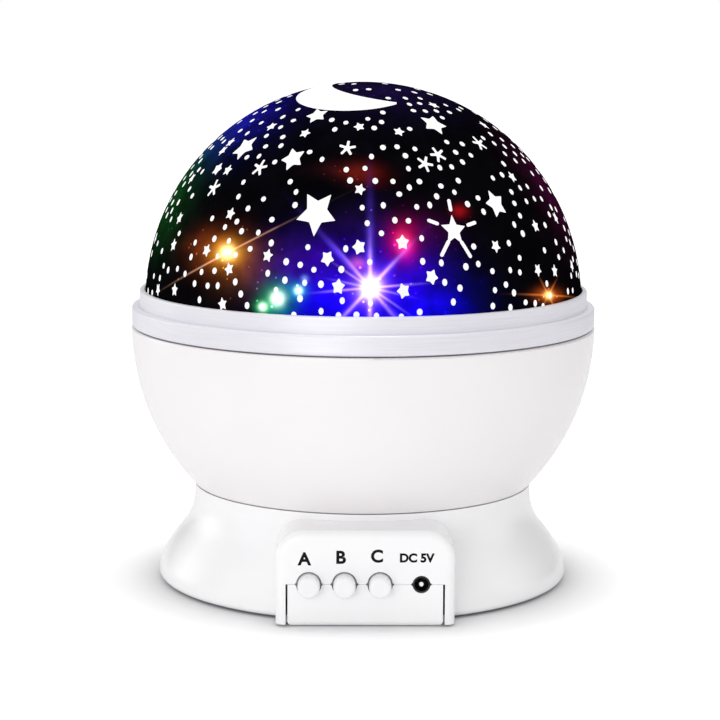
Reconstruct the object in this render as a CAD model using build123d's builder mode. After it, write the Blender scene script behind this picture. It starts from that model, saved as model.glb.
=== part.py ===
from build123d import *
from collections import namedtuple
from math import acos, asin, cos, degrees, pi, radians, sin, tan
import os

# Star night light projector. A bowl with a printed star dome turns on a fixed lamp stem, driven
# by a geared motor in the base. Millimetres, +Z up, the control panel faces -Y. The origin is on
# the floor, on the axis that the bowl turns about.

# Fits that recur
HOLE_PLAY = 0.3  # radius that a clearance hole has over what goes through it
SEAT_PLAY = 0.1  # gap round a part in its recess, and under it
JOIN = 0.5  # depth that one feature runs into the next, so that they are one solid

# Bowl, dome and trim ring
BOWL_R = 62.5  # outer sphere of the bowl
BOWL_Z = 69.1  # centre of that sphere, level with the rim
BOWL_WALL = 2.2
BOWL_FOOT_Z = 26.4  # lower edge of the bowl, just over the neck
FLOOR_Z = 32.5  # underside of the bowl's floor
FLOOR_T = 2.0
RIM_ROUND = 0.5
RIB_COUNT = 8  # stiffening ribs on the floor
RIB_LENGTH = 24.0
RIB_T = 1.6
RIB_H = 3.5
NECK_SKIRT_T = 1.4  # skirt under the floor that runs inside the neck
NECK_SKIRT_PLAY = 0.4
NECK_SKIRT_GAP = 2.0
DOME_R = 58.5
DOME_Z = 75.4  # centre of the dome's sphere
DOME_WALL = 1.6
DOME_FOOT_Z = 75.2  # ledge of the trim ring that the dome stands on
FILM_R = 58.8  # printed skin that the dome wears
FILM_T = 0.28
BAND_R = 60.3  # upper, narrow band of the trim ring
BAND_TOP_Z = 79.0
STEP_R = 62.4  # lower, wide band
STEP_Z = 74.6
STEP_FOOT_Z = 69.4
RABBET_R = 59.1  # recess that takes the dome's foot
LIP_R = 55.5
LIP_T = 2.0
RING_WALL = 1.5
BAND_ROUND = 0.7
SKIRT_R = 58.2  # ring skirt that goes down into the bowl
SKIRT_FOOT_Z = 64.0

# Bayonet between ring and bowl: three lugs on each
LUG_COUNT = 3
RING_LUG_R = 59.6
RING_LUG_Z = 64.2
BOWL_LUG_R = 58.5
BOWL_LUG_Z = 66.4
LUG_T = 1.8
BOWL_LUG_ANGLE = 30.0
RING_LUG_ANGLE = 25.0
RING_LUG_START = 1.0
STOP_ANGLE = 2.0

# Base housing
BASE_R = 55.5
BASE_Z = 0.6  # underside, carried clear of the floor by the feet
EDGE_R = 1.5  # rounding of the lower edge
NECK_R = 45.7
NECK_TOP_Z = 26.1
NECK_BORE_R = 43.4
FLARE_Z = 24.5  # the straight neck ends here and the flare begins
FLARE_POINTS = [(48.2, 15.3), (51.6, 10.9), (54.0, 7.0)]
FLARE_END_SLOPE = (0.06, -1)
WALL = 2.0
DECK_Z = 20.0  # underside of the deck that closes the base
DECK_TOP_Z = 22.0

# Control box on the front, and the tongue of the bottom cover that closes it
BOX_HALF = 22.6
BOX_FRONT = 58.0
BOX_BACK = 38.0
BOX_TOP_Z = 24.5
BOX_CORNER_R = 7.0
BOX_EDGE_R = 2.0
SLOT_HALF = 20.05
TONGUE_HALF = 19.55
TONGUE_FOOT_Z = 0.1  # the tongue reaches lower than the housing, almost to the floor
SPLIT_Z = 11.0  # the split runs through the centres of the buttons and the inlet
SPLIT_GAP = 0.08
NOTCH_R = 0.35  # small relief where the split runs into a hole
BUTTON_X = {"button_a": -14.2, "button_b": -5.25, "button_c": 3.7}
BUTTON_R = 2.8
BUTTON_HOLE_R = 3.2
BUTTON_OUT = 4.4
BUTTON_TRAVEL = 0.8
BUTTON_ROUND = 0.9
BUTTON_FLANGE_R = 3.9
BUTTON_FLANGE_T = 1.0
BUTTON_STEM_R = 1.5
INLET_X = 14.1
INLET_R = 2.1
INLET_HOLE_R = 2.25
INLET_BORE_R = 1.8
INLET_PIN_R = 0.65

# Bottom cover, battery tray and door
COVER_R = 53.1
COVER_T = 2.0
COVER_TOP_Z = BASE_Z + COVER_T
TRAY_HALF = 26.0
TRAY_Y = 13.5  # centre of the four cells
TRAY_LENGTH = 46.0
TRAY_WALL = 2.0
TRAY_CORNER_R = 2.5
TRAY_TOP_Z = 13.6
TRAY_ROOF = 1.2
CELL_R = 5.2
CELL_LENGTH = 44.5
CELL_Z = 8.2
CELL_NUB_R = 1.9
CELL_NUB_T = 0.8
CELL_RIB_LENGTH = 30.0  # low ribs under the tray's roof, between the cells
CELL_RIB_T = 0.8
CELL_RIB_H = 3.5
CONTACT_T = 0.4
CONTACT_WIDTH = 7.0
CONTACT_H = 8.0
CONTACT_CORNER_R = 1.0
DIMPLE_R = 2.6
DIMPLE_TAPER = 20
DOOR_T = 1.7
DOOR_LEDGE = 1.0
DOOR_GAP = 0.3
DOOR_EAR_Y = 41.5
DOOR_CORNER_R = 2.0
DOOR_EAR_R = 4.0
DOOR_EAR_REACH = 7.0
DOOR_BOSS_H = 7.5
GRIP_COUNT = 5  # finger grooves across the door
GRIP_PITCH = 2.4
GRIP_LENGTH = 16.0
GRIP_WIDTH = 1.2
GRIP_DEPTH = 0.6
GRIP_BACK = 12.0
FOOT_R = 5.0
FOOT_T = 1.4
FOOT_ROUND = 0.4
FOOT_SPOTS = [(34, 31), (-34, 31), (-34, -31), (34, -31)]
BOSS_SPOTS = [(38, 14), (-38, 14), (-36, -18), (36, -18)]
BOSS_R = 3.2
BOSS_BORE_DEPTH = 9.0
SCREW_SEAT_R = 3.0
SCREW_SEAT_DEPTH = 1.1

# Lamp stem and its bearing for the bowl
STEM_FLANGE_R = 19.5
STEM_FLANGE_T = 2.5
STEM_SCREW_CIRCLE_R = 16.8
STEM_SCREW_COUNT = 3
STEM_BOSS_R = 2.8
STEM_BOSS_H = 4.6
STEM_BORE_R = 7.5
STEM_TOP_BORE_R = 6.0
STEM_TOP_BORE_DEPTH = 8.0
STEM_BORE_TAPER = 4.0
STEM_TAPER_R = 9.3  # the stem narrows over the clip, and again towards its top
STEM_TOP_R = 9.0
SHOULDER_R = 13.5
SHOULDER_Z = 31.4
BEARING_R = 10.5
HUB_BORE_R = 10.57
HUB_R = 13.0
HUB_TOP_Z = 42.0
CLIP_Z = 42.2
CLIP_T = 1.0
CLIP_GROOVE_R = 9.7
CLIP_LAND_R = 10.3
CLIP_LAND_T = 1.5
CLIP_LAND_TAPER = 1.4
CLIP_INNER_R = 9.75
CLIP_OUTER_R = 12.6
CLIP_OPENING = 40.0  # angle that the clip leaves open
CLIP_HOLE_R = 0.6
CLIP_HOLE_CIRCLE_R = 11.6
CLIP_HOLE_ANGLE = 28.0
STEM_TOP_Z = 67.4
LED_BOARD_R = 15.0
LED_BOARD_T = 1.6
LED_BOARD_BORE_R = 2.4
LED_R = 2.5
LED_COLLAR_R = 2.8
LED_COLLAR_T = 1.0
LED_BODY_H = 5.1
LED_CIRCLE_R = 8.5
LED_SCREW_CIRCLE_R = 7.5  # circle of the LED board's two screws
LED_SCREW_ANGLE = 57.0
LAMP_ANGLES = {"led_blue": 282, "led_red": 12, "led_green": 192, "led_warm": 102}

# Drive: a pinion inside the ring gear under the bowl
MODULE = 1.0
RING_TEETH = 60
PINION_TEETH = 12
PRESSURE_ANGLE = radians(20)
TOOTH_PLAY = 0.16  # taken off every tooth at the pitch circle
RING_TIP_R = 29.4
RING_ROOT_R = 31.3
RING_GEAR_R = 35.0
PINION_TIP_R = 6.9
PINION_ROOT_R = 4.6
PINION_HUB_R = 4.0
PINION_HUB_T = 1.2
GEAR_Z = 26.7
GEAR_T = 5.6
EAR_CIRCLE_R = 37.3  # where the ring gear's ears are screwed to the bowl's floor
EAR_COUNT = 4
EAR_ANGLE = 45
EAR_R = 3.0
EAR_T = 2.5
EAR_BOSS_H = 4.0
PINION_Y = -(RING_TEETH - PINION_TEETH) * MODULE / 2
SHAFT_R = 2.0
SHAFT_HOLE_R = 2.06
GEARBOX_HALF = 14.0
GEARBOX_DEPTH = 22.0
GEARBOX_CORNER_R = 2.0
GEARBOX_ROUND = 0.8
GEARBOX_COLLAR_R = 3.4
GEARBOX_COLLAR_H = 3.0
GEARBOX_EAR_R = 2.4
GEARBOX_BORE_DEPTH = 1.6  # screw holes in the deck
SHAFT_BORE_DEPTH = 8.0
SHAFT_DEPTH = 7.5  # part of the shaft inside the gearbox
SHAFT_TIP = 0.3
GEARBOX_SCREW_SPOTS = [(x, y) for x in (-16.4, 16.4) for y in (PINION_Y - 7, PINION_Y + 7)]
GEARBOX_Z = 6.0
LID_Z = 18.4
MOTOR_R = 6.0
MOTOR_Z = 11.5
MOTOR_FLATS = 10.0  # over the motor's two flat sides
MOTOR_LENGTH = 15.0
MOTOR_HUB_R = 2.0
MOTOR_HUB_T = 0.8

BOARD_Y = -45.0  # back face of the control board
BOARD_T = 1.6
BOARD_WIDTH = 39.6
BOARD_TOP_PLAY = 0.5
GUIDE_PLAY = 0.2  # ribs of the bottom cover that hold the board's foot
GUIDE_PITCH = 34.0
GUIDE_WIDTH = 4.0
GUIDE_T = 1.2
GUIDE_H = 4.0
CHIP_X = -6.0
CHIP_Z = 14.0
CHIP_SIZE = (9.9, 3.9)
CHIP_T = 1.5
CHIP_EDGE = 0.3
CHIP_LEG_COUNT = 8  # on each of the two long sides
CHIP_LEG_PITCH = 1.27
CHIP_LEG_SPAN = 5.0
CHIP_LEG_SIZE = (0.45, 1.2)
CHIP_LEG_T = 0.5
SWITCH_SIDE = 6.0
SWITCH_T = 3.5
PLUNGER_R = 1.7
PLUNGER_T = 0.8
JACK_SIDE = 7.0
JACK_CORNER_R = 0.6
JACK_BODY_T = 8.4
JACK_BORE_DEPTH = 9.0
PIN_TIP = 0.15
LEAD_R = 0.6
HARNESS_R = 1.2
HARNESS_Z = 17.4

Screw = namedtuple("Screw", "head_radius head_height shank_radius shank_length")
GEAR_SCREW = Screw(2.2, 1.5, 0.9, 6.5)
COVER_SCREW = Screw(2.6, 1.0, 1.2, 8.0)
DOOR_SCREW = Screw(2.3, 0.9, 1.1, 5.0)
STEM_SCREW = Screw(2.2, 1.5, 1.1, 7.0)
LED_SCREW = Screw(1.5, 1.0, 0.6, 6.0)
GEARBOX_SCREW = Screw(1.8, 1.2, 0.9, 3.0)

ON_FLOOR = (Align.CENTER, Align.CENTER, Align.MIN)
FRONT = Plane.XZ  # its normal is -Y, its x is X and its y is Z


def sphere_arc(radius, centre_z, start_z, end_z):
    """Arc of a sphere's outline between two heights, in the plane of a section."""
    start, end = (degrees(asin((z - centre_z) / radius)) for z in (start_z, end_z))
    return CenterArc((0, centre_z), radius, start, end - start)


def sector(inner_radius, outer_radius, start, sweep_angle):
    """Face between two arcs about the axis, from the start angle on."""
    with BuildSketch(mode=Mode.PRIVATE) as face:
        with BuildLine():
            outer = CenterArc((0, 0), outer_radius, start, sweep_angle)
            inner = CenterArc((0, 0), inner_radius, start, sweep_angle)
            Line(outer @ 0, inner @ 0)
            Line(outer @ 1, inner @ 1)
        make_face()
    return face.sketch


def half_tooth_angle(teeth, play, radius):
    """Half the angle that an involute tooth takes up at the radius."""
    pitch_radius = MODULE * teeth / 2
    at_pitch = (pi * MODULE / 2 - play) / (2 * pitch_radius)
    roll = acos(min(1.0, pitch_radius * cos(PRESSURE_ANGLE) / radius))
    return at_pitch + tan(PRESSURE_ANGLE) - PRESSURE_ANGLE - tan(roll) + roll


def tooth(teeth, play, root_radius, tip_radius):
    """Face of one involute tooth about the X axis, with radial flanks inside the base circle."""
    base_radius = MODULE * teeth / 2 * cos(PRESSURE_ANGLE)
    foot = max(root_radius, base_radius)
    steps = [foot + (tip_radius - foot) * share for share in (0, 0.3, 0.65, 1)]

    def flank(side):
        angles = [side * half_tooth_angle(teeth, play, r) for r in steps]
        return [(r * cos(a), r * sin(a)) for r, a in zip(steps, angles)]

    with BuildSketch(mode=Mode.PRIVATE) as face:
        with BuildLine():
            left = Spline(*flank(1))
            right = Spline(*flank(-1))
            Line(left @ 1, right @ 1)
            inset = 0.95 * root_radius / foot
            Polyline(left @ 0, (left @ 0) * inset, (right @ 0) * inset, right @ 0)
        make_face()
    return face.sketch


def screw(size):
    """Pan head screw that stands on its head, with the shank up."""
    with BuildPart(mode=Mode.PRIVATE) as one:
        Cylinder(size.head_radius, size.head_height, align=ON_FLOOR)
        fillet(one.edges().sort_by(Axis.Z)[0], size.head_height / 3)
        Cylinder(size.shank_radius, size.head_height + size.shank_length, align=ON_FLOOR)
        chamfer(one.edges().sort_by(Axis.Z)[-1], size.shank_radius / 3)
    return one.part


def bend_radii(points):
    """One radius for each bend of a lead, as large as the two runs beside it allow."""
    runs = [Vector(*b) - Vector(*a) for a, b in zip(points, points[1:])]
    return [
        0.45 * min(a.length, b.length) / tan(radians(a.get_angle(b)) / 2)
        for a, b in zip(runs, runs[1:])
    ]


def lead(points, radius):
    """Round lead along straight runs joined by tangent arcs."""
    with BuildPart(mode=Mode.PRIVATE) as one:
        with BuildLine() as route:
            FilletPolyline(*points, radius=bend_radii(points))
        with BuildSketch(Plane(origin=route.line @ 0, z_dir=route.line % 0)):
            Circle(radius)
        sweep()
    print("lead bends, mm:", [round(r, 1) for r in bend_radii(points)])
    return one.part


def flare(inset):
    """Outline of the base from the neck to the lower edge, moved inwards by the inset."""
    points = [(NECK_R, FLARE_Z), *FLARE_POINTS, (BASE_R, BASE_Z + EDGE_R)]
    return Spline(*[(r - inset, z) for r, z in points], tangents=((0, -1), FLARE_END_SLOPE))


def box_outline(inset):
    """Front outline of the control box, with the two upper corners rounded."""
    half, top = BOX_HALF - inset, BOX_TOP_Z - inset
    with BuildSketch(mode=Mode.PRIVATE) as outline:
        with Locations((0, BASE_Z)):
            Rectangle(2 * half, top - BASE_Z, align=(Align.CENTER, Align.MIN))
        fillet(outline.vertices().group_by(Axis.Y)[-1], BOX_CORNER_R - inset)
    return outline.sketch


def half_shell(outer_radius, thickness):
    """Section of a thin dome that stands on the trim ring's ledge."""
    with BuildSketch(mode=Mode.PRIVATE) as section_face:
        with Locations((0, DOME_Z)):
            Circle(outer_radius)
            Circle(outer_radius - thickness, mode=Mode.SUBTRACT)
        with Locations((0, DOME_FOOT_Z)):
            Rectangle(BOWL_R, BOWL_R, align=(Align.MIN, Align.MIN), mode=Mode.INTERSECT)
    return section_face.sketch


# The dome: a clear shell under a printed skin
with BuildPart() as dome_cover:
    with BuildSketch(FRONT):
        add(half_shell(DOME_R, DOME_WALL))
    revolve(axis=Axis.Z)
dome_cover.part.label = "dome_cover"

with BuildPart() as star_film:
    with BuildSketch(FRONT):
        add(half_shell(FILM_R, FILM_T))
    revolve(axis=Axis.Z)
star_film.part.label = "star_film"

# The trim ring: two stepped bands, a rabbet for the dome and a skirt with bayonet lugs
with BuildPart() as trim_ring:
    with BuildSketch(FRONT) as section_face:
        with BuildLine():
            Polyline(
                (RABBET_R, DOME_FOOT_Z),
                (RABBET_R, BAND_TOP_Z),
                (BAND_R, BAND_TOP_Z),
                (BAND_R, STEP_Z),
                (STEP_R, STEP_Z),
                (STEP_R, STEP_FOOT_Z),
                (SKIRT_R, STEP_FOOT_Z),
                (SKIRT_R, SKIRT_FOOT_Z),
                (SKIRT_R - RING_WALL, SKIRT_FOOT_Z),
                (SKIRT_R - RING_WALL, DOME_FOOT_Z - LIP_T - 1.0),
                (LIP_R, DOME_FOOT_Z - LIP_T),
                (LIP_R, DOME_FOOT_Z),
                close=True,
            )
        make_face()
        fillet(section_face.vertices().group_by(Axis.X)[-1], BAND_ROUND)
        fillet(section_face.vertices().group_by(Axis.Y)[-1].sort_by(Axis.X)[-1], RIM_ROUND)
    revolve(axis=Axis.Z)
    with BuildSketch(Plane.XY.offset(RING_LUG_Z)):
        with PolarLocations(0, LUG_COUNT):
            add(sector(SKIRT_R - JOIN, RING_LUG_R, RING_LUG_START, RING_LUG_ANGLE))
    extrude(amount=LUG_T)
trim_ring.part.label = "trim_ring"

# The bowl: a thin half-round wall, a floor with a hub, and lugs under the rim
FLOOR_TOP_Z = FLOOR_Z + FLOOR_T
BOWL_INNER_R = BOWL_R - BOWL_WALL
LUG_ROOT_R = BOWL_INNER_R + 0.8
with BuildPart() as bowl:
    with BuildSketch(FRONT) as section_face:
        with BuildLine():
            outer = sphere_arc(BOWL_R, BOWL_Z, BOWL_FOOT_Z, BOWL_Z)
            inner = sphere_arc(BOWL_INNER_R, BOWL_Z, BOWL_Z, FLOOR_TOP_Z)
            foot = sphere_arc(BOWL_INNER_R, BOWL_Z, FLOOR_Z, BOWL_FOOT_Z)
            Line(outer @ 1, inner @ 0)
            Polyline(
                inner @ 1,
                (HUB_R, FLOOR_TOP_Z),
                (HUB_R, HUB_TOP_Z),
                (HUB_BORE_R, HUB_TOP_Z),
                (HUB_BORE_R, FLOOR_Z),
                foot @ 0,
            )
            Line(foot @ 1, outer @ 0)
        make_face()
        fillet(section_face.vertices().group_by(Axis.Y)[-1].sort_by(Axis.X)[-1], RIM_ROUND)
    revolve(axis=Axis.Z)
    # Skirt that closes the neck against light and dust.
    with BuildSketch(Plane.XY.offset(DECK_TOP_Z + NECK_SKIRT_GAP)):
        Circle(NECK_BORE_R - NECK_SKIRT_PLAY)
        Circle(NECK_BORE_R - NECK_SKIRT_PLAY - NECK_SKIRT_T, mode=Mode.SUBTRACT)
    extrude(amount=FLOOR_Z - DECK_TOP_Z - NECK_SKIRT_GAP + JOIN)
    # Stiffening ribs from the hub outwards, and bosses for the ring gear.
    with BuildSketch(Plane.XY.offset(FLOOR_TOP_Z)):
        with PolarLocations(0, RIB_COUNT, start_angle=180 / RIB_COUNT):
            with Locations((HUB_R - JOIN, 0)):
                Rectangle(RIB_LENGTH, RIB_T, align=(Align.MIN, Align.CENTER))
    extrude(amount=RIB_H)
    with BuildSketch(Plane.XY.offset(FLOOR_TOP_Z)):
        with PolarLocations(EAR_CIRCLE_R, EAR_COUNT, start_angle=EAR_ANGLE):
            Circle(EAR_R)
    extrude(amount=EAR_BOSS_H)
    with BuildSketch(Plane.XY.offset(FLOOR_Z)):
        with PolarLocations(EAR_CIRCLE_R, EAR_COUNT, start_angle=EAR_ANGLE):
            Circle(GEAR_SCREW.shank_radius)
    extrude(amount=FLOOR_T + EAR_BOSS_H - 1.0, mode=Mode.SUBTRACT)
    # Bayonet lugs, each with a stop at its locked end.
    with BuildSketch(Plane.XY.offset(BOWL_LUG_Z)):
        with PolarLocations(0, LUG_COUNT):
            add(sector(BOWL_LUG_R, LUG_ROOT_R, -STOP_ANGLE, BOWL_LUG_ANGLE + STOP_ANGLE))
    extrude(amount=LUG_T)
    with BuildSketch(Plane.XY.offset(RING_LUG_Z)):
        with PolarLocations(0, LUG_COUNT):
            add(sector(BOWL_LUG_R, LUG_ROOT_R, -STOP_ANGLE, STOP_ANGLE))
    extrude(amount=BOWL_LUG_Z - RING_LUG_Z)
bowl.part.label = "bowl"

with BuildPart() as ring_gear:
    with BuildSketch(Plane.XY.offset(GEAR_Z)):
        Circle(RING_GEAR_R)
        Circle(RING_TIP_R, mode=Mode.SUBTRACT)
        with PolarLocations(0, RING_TEETH, start_angle=-90):
            add(tooth(RING_TEETH, -TOOTH_PLAY, RING_TIP_R, RING_ROOT_R), mode=Mode.SUBTRACT)
    extrude(amount=GEAR_T)
    with BuildSketch(Plane.XY.offset(FLOOR_Z - EAR_T)):
        with PolarLocations(EAR_CIRCLE_R, EAR_COUNT, start_angle=EAR_ANGLE):
            Circle(EAR_R)
            Rectangle(EAR_R, 2 * EAR_R, align=(Align.MAX, Align.CENTER))
        with PolarLocations(EAR_CIRCLE_R, EAR_COUNT, start_angle=EAR_ANGLE):
            Circle(GEAR_SCREW.shank_radius + HOLE_PLAY, mode=Mode.SUBTRACT)
    extrude(amount=EAR_T)
    with BuildSketch(Plane.XY.offset(GEAR_Z + GEAR_T)):
        Circle(RING_GEAR_R)
        Circle(RING_ROOT_R, mode=Mode.SUBTRACT)
    extrude(amount=FLOOR_Z - GEAR_Z - GEAR_T)
ring_gear.part.label = "ring_gear"

with BuildPart() as ring_gear_screws:
    with PolarLocations(EAR_CIRCLE_R, EAR_COUNT, start_angle=EAR_ANGLE):
        with Locations((0, 0, FLOOR_Z - EAR_T - GEAR_SCREW.head_height)):
            add(screw(GEAR_SCREW))
ring_gear_screws.part.label = "ring_gear_screws"

HOLES = [(x, BUTTON_HOLE_R) for x in BUTTON_X.values()] + [(INLET_X, INLET_HOLE_R)]
NOTCHES = [(x + side * radius, SPLIT_Z) for x, radius in HOLES for side in (-1, 1)]

# The base housing: a flared skirt, a neck, a deck and the control box
with BuildPart() as base_housing:
    with BuildSketch(FRONT.offset(BOX_FRONT)):
        add(box_outline(0))
    extrude(amount=BOX_BACK - BOX_FRONT)
    front_face = base_housing.faces().sort_by(Axis.Y)[0]
    fillet(front_face.edges().filter_by(lambda edge: edge.center().Z > BASE_Z + EDGE_R), BOX_EDGE_R)
    with BuildSketch(FRONT.offset(BOX_FRONT - WALL)):
        add(box_outline(WALL))
    extrude(amount=BOX_BACK - BOX_FRONT + WALL, mode=Mode.SUBTRACT)
    with BuildSketch(FRONT):
        with BuildLine():
            outline = flare(0)
            RadiusArc(outline @ 1, (BASE_R - EDGE_R, BASE_Z), EDGE_R)
            Polyline(
                (BASE_R - EDGE_R, BASE_Z), (0, BASE_Z), (0, NECK_TOP_Z), (NECK_R, NECK_TOP_Z), outline @ 0
            )
        make_face()
    revolve(axis=Axis.Z)
    with BuildSketch(FRONT):
        with BuildLine():
            outline = flare(WALL)
            inner_edge = (BASE_R - WALL, BASE_Z)
            Polyline(outline @ 1, inner_edge, (0, BASE_Z), (0, FLARE_Z), outline @ 0)
        make_face()
        with Locations((0, DECK_Z)):
            Rectangle(3 * NECK_R, NECK_R, align=(Align.CENTER, Align.MIN), mode=Mode.SUBTRACT)
    revolve(axis=Axis.Z, mode=Mode.SUBTRACT)
    with BuildSketch(FRONT.offset(BOX_FRONT - WALL)):
        add(box_outline(WALL))
        with Locations((0, DECK_Z)):
            Rectangle(2 * BOX_HALF, WALL + DECK_Z, align=(Align.CENTER, Align.MIN), mode=Mode.SUBTRACT)
    extrude(amount=BOX_BACK - BOX_FRONT + WALL, mode=Mode.SUBTRACT)
    with BuildSketch(Plane.XY.offset(DECK_TOP_Z)):
        Circle(NECK_BORE_R)
    extrude(amount=NECK_TOP_Z - DECK_TOP_Z, mode=Mode.SUBTRACT)
    # Slot for the tongue, and the upper halves of the holes.
    with BuildSketch(FRONT.offset(BOX_FRONT)):
        with Locations((0, BASE_Z)):
            Rectangle(2 * SLOT_HALF, SPLIT_Z - BASE_Z, align=(Align.CENTER, Align.MIN))
        with Locations(*[(x, SPLIT_Z) for x in BUTTON_X.values()]):
            Circle(BUTTON_HOLE_R)
        with Locations((INLET_X, SPLIT_Z)):
            Circle(INLET_HOLE_R)
        with Locations(*NOTCHES):
            Circle(NOTCH_R)
    extrude(amount=-WALL, mode=Mode.SUBTRACT)
    # Bosses under the deck for the cover's and the stem's screws.
    with BuildSketch(Plane.XY.offset(COVER_TOP_Z)):
        with Locations(*BOSS_SPOTS):
            Circle(BOSS_R)
    extrude(amount=DECK_Z - COVER_TOP_Z)
    with BuildSketch(Plane.XY.offset(DECK_Z - STEM_BOSS_H)):
        with PolarLocations(STEM_SCREW_CIRCLE_R, STEM_SCREW_COUNT, start_angle=90):
            Circle(STEM_BOSS_R)
    extrude(amount=STEM_BOSS_H)
    with BuildSketch(Plane.XY.offset(COVER_TOP_Z)):
        with Locations(*BOSS_SPOTS):
            Circle(COVER_SCREW.shank_radius)
    extrude(amount=BOSS_BORE_DEPTH, mode=Mode.SUBTRACT)
    # Holes through the deck: the harness, the output shaft's collar and the stem's screws.
    with BuildSketch(Plane.XY.offset(DECK_Z)):
        Circle(STEM_BORE_R)
        with Locations((0, PINION_Y)):
            Circle(GEARBOX_COLLAR_R + HOLE_PLAY)
    extrude(amount=DECK_TOP_Z - DECK_Z, mode=Mode.SUBTRACT)
    with BuildSketch(Plane.XY.offset(DECK_TOP_Z)):
        with PolarLocations(STEM_SCREW_CIRCLE_R, STEM_SCREW_COUNT, start_angle=90):
            Circle(STEM_SCREW.shank_radius)
    extrude(amount=DECK_Z - DECK_TOP_Z - STEM_BOSS_H + 1.0, mode=Mode.SUBTRACT)
    with BuildSketch(Plane.XY.offset(DECK_Z)):
        with Locations(*GEARBOX_SCREW_SPOTS):
            Circle(GEARBOX_SCREW.shank_radius)
    extrude(amount=GEARBOX_BORE_DEPTH, mode=Mode.SUBTRACT)
base_housing.part.label = "base_housing"

CELL_YS = [TRAY_Y + (n - 1.5) * TRAY_LENGTH / 4 for n in range(4)]
LEAD_EXITS = [(CELL_YS[0], 11.0), (CELL_YS[3], 9.0)]

# The bottom cover: a plate with the panel's tongue, the battery tray and guides for the board
with BuildPart() as bottom_cover:
    with BuildSketch(Plane.XY.offset(BASE_Z)):
        Circle(COVER_R)
        with Locations((0, -BOX_BACK)):
            Rectangle(2 * TONGUE_HALF, BOX_FRONT - BOX_BACK, align=(Align.CENTER, Align.MAX))
        with Locations((0, -BOX_BACK)):
            back_reach = BOX_FRONT - WALL - DOOR_GAP - BOX_BACK
            Rectangle(2 * (BOX_HALF - WALL - DOOR_GAP), back_reach, align=(Align.CENTER, Align.MAX))
    extrude(amount=COVER_T)
    with BuildSketch(FRONT.offset(BOX_FRONT)):
        with Locations((0, TONGUE_FOOT_Z)):
            tongue_height = SPLIT_Z - SPLIT_GAP - TONGUE_FOOT_Z
            Rectangle(2 * TONGUE_HALF, tongue_height, align=(Align.CENTER, Align.MIN))
        with Locations(*[(x, SPLIT_Z) for x in BUTTON_X.values()]):
            Circle(BUTTON_HOLE_R, mode=Mode.SUBTRACT)
        with Locations((INLET_X, SPLIT_Z)):
            Circle(INLET_HOLE_R, mode=Mode.SUBTRACT)
        with Locations(*NOTCHES):
            Circle(NOTCH_R, mode=Mode.SUBTRACT)
    extrude(amount=-WALL)
    lower_edge = bottom_cover.edges().filter_by(Axis.X).group_by(Axis.Y)[0].sort_by(Axis.Z)[0]
    side_edges = bottom_cover.edges().filter_by(Axis.Y).group_by(Axis.Z)[0]
    fillet([lower_edge, *side_edges.filter_by(lambda edge: edge.center().Y < WALL - BOX_FRONT)], EDGE_R)
    # Battery tray, with its ribs between the cells.
    with BuildSketch(Plane.XY.offset(BASE_Z)):
        with Locations((0, TRAY_Y)):
            outer_width, outer_length = 2 * (TRAY_HALF + TRAY_WALL), TRAY_LENGTH + 2 * TRAY_WALL
            RectangleRounded(outer_width, outer_length, TRAY_CORNER_R + TRAY_WALL)
    extrude(amount=TRAY_TOP_Z + TRAY_ROOF - BASE_Z)
    with BuildSketch(Plane.XY.offset(BASE_Z)):
        with Locations((0, DOOR_EAR_Y)):
            Circle(DOOR_EAR_R + TRAY_WALL)
    extrude(amount=DOOR_BOSS_H)
    with BuildSketch(Plane.XY.offset(BASE_Z)):
        with Locations((0, TRAY_Y)):
            RectangleRounded(2 * TRAY_HALF, TRAY_LENGTH, TRAY_CORNER_R)
    extrude(amount=TRAY_TOP_Z - BASE_Z, mode=Mode.SUBTRACT)
    with BuildSketch(Plane.XY.offset(TRAY_TOP_Z)):
        with Locations((0, TRAY_Y)):
            with GridLocations(0, TRAY_LENGTH / 4, 1, 3):
                Rectangle(CELL_RIB_LENGTH, CELL_RIB_T)
    extrude(amount=-CELL_RIB_H)
    # Recess for the door and its ear, recesses for the feet and the screws.
    with BuildSketch(Plane.XY.offset(BASE_Z)):
        with Locations((0, TRAY_Y)):
            RectangleRounded(2 * (TRAY_HALF + DOOR_LEDGE), TRAY_LENGTH + 2 * DOOR_LEDGE, DOOR_CORNER_R)
        with Locations((0, DOOR_EAR_Y)):
            Circle(DOOR_EAR_R)
            Rectangle(2 * DOOR_EAR_R, DOOR_EAR_REACH, align=(Align.CENTER, Align.MAX))
    extrude(amount=DOOR_T + SEAT_PLAY, mode=Mode.SUBTRACT)
    with BuildSketch(Plane.XY.offset(BASE_Z)):
        with Locations((0, DOOR_EAR_Y)):
            Circle(DOOR_SCREW.shank_radius)
    extrude(amount=DOOR_BOSS_H - 1.0, mode=Mode.SUBTRACT)
    with BuildSketch(Plane.XY.offset(BASE_Z)):
        with Locations(*FOOT_SPOTS):
            Circle(FOOT_R + SEAT_PLAY)
    extrude(amount=FOOT_T - BASE_Z, mode=Mode.SUBTRACT)
    with BuildSketch(Plane.XY.offset(BASE_Z)):
        with Locations(*BOSS_SPOTS):
            Circle(COVER_SCREW.shank_radius + HOLE_PLAY)
    extrude(amount=COVER_T, mode=Mode.SUBTRACT)
    with BuildSketch(Plane.XY.offset(BASE_Z)):
        with Locations(*BOSS_SPOTS):
            Circle(SCREW_SEAT_R)
    extrude(amount=SCREW_SEAT_DEPTH, mode=Mode.SUBTRACT)
    # Holes that let the battery leads out of the tray.
    with BuildSketch(Plane.YZ.offset(-TRAY_HALF)):
        with Locations(*[(cell_y, z) for cell_y, z in LEAD_EXITS]):
            Circle(LEAD_R + HOLE_PLAY)
    extrude(amount=-TRAY_WALL, mode=Mode.SUBTRACT)
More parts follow.
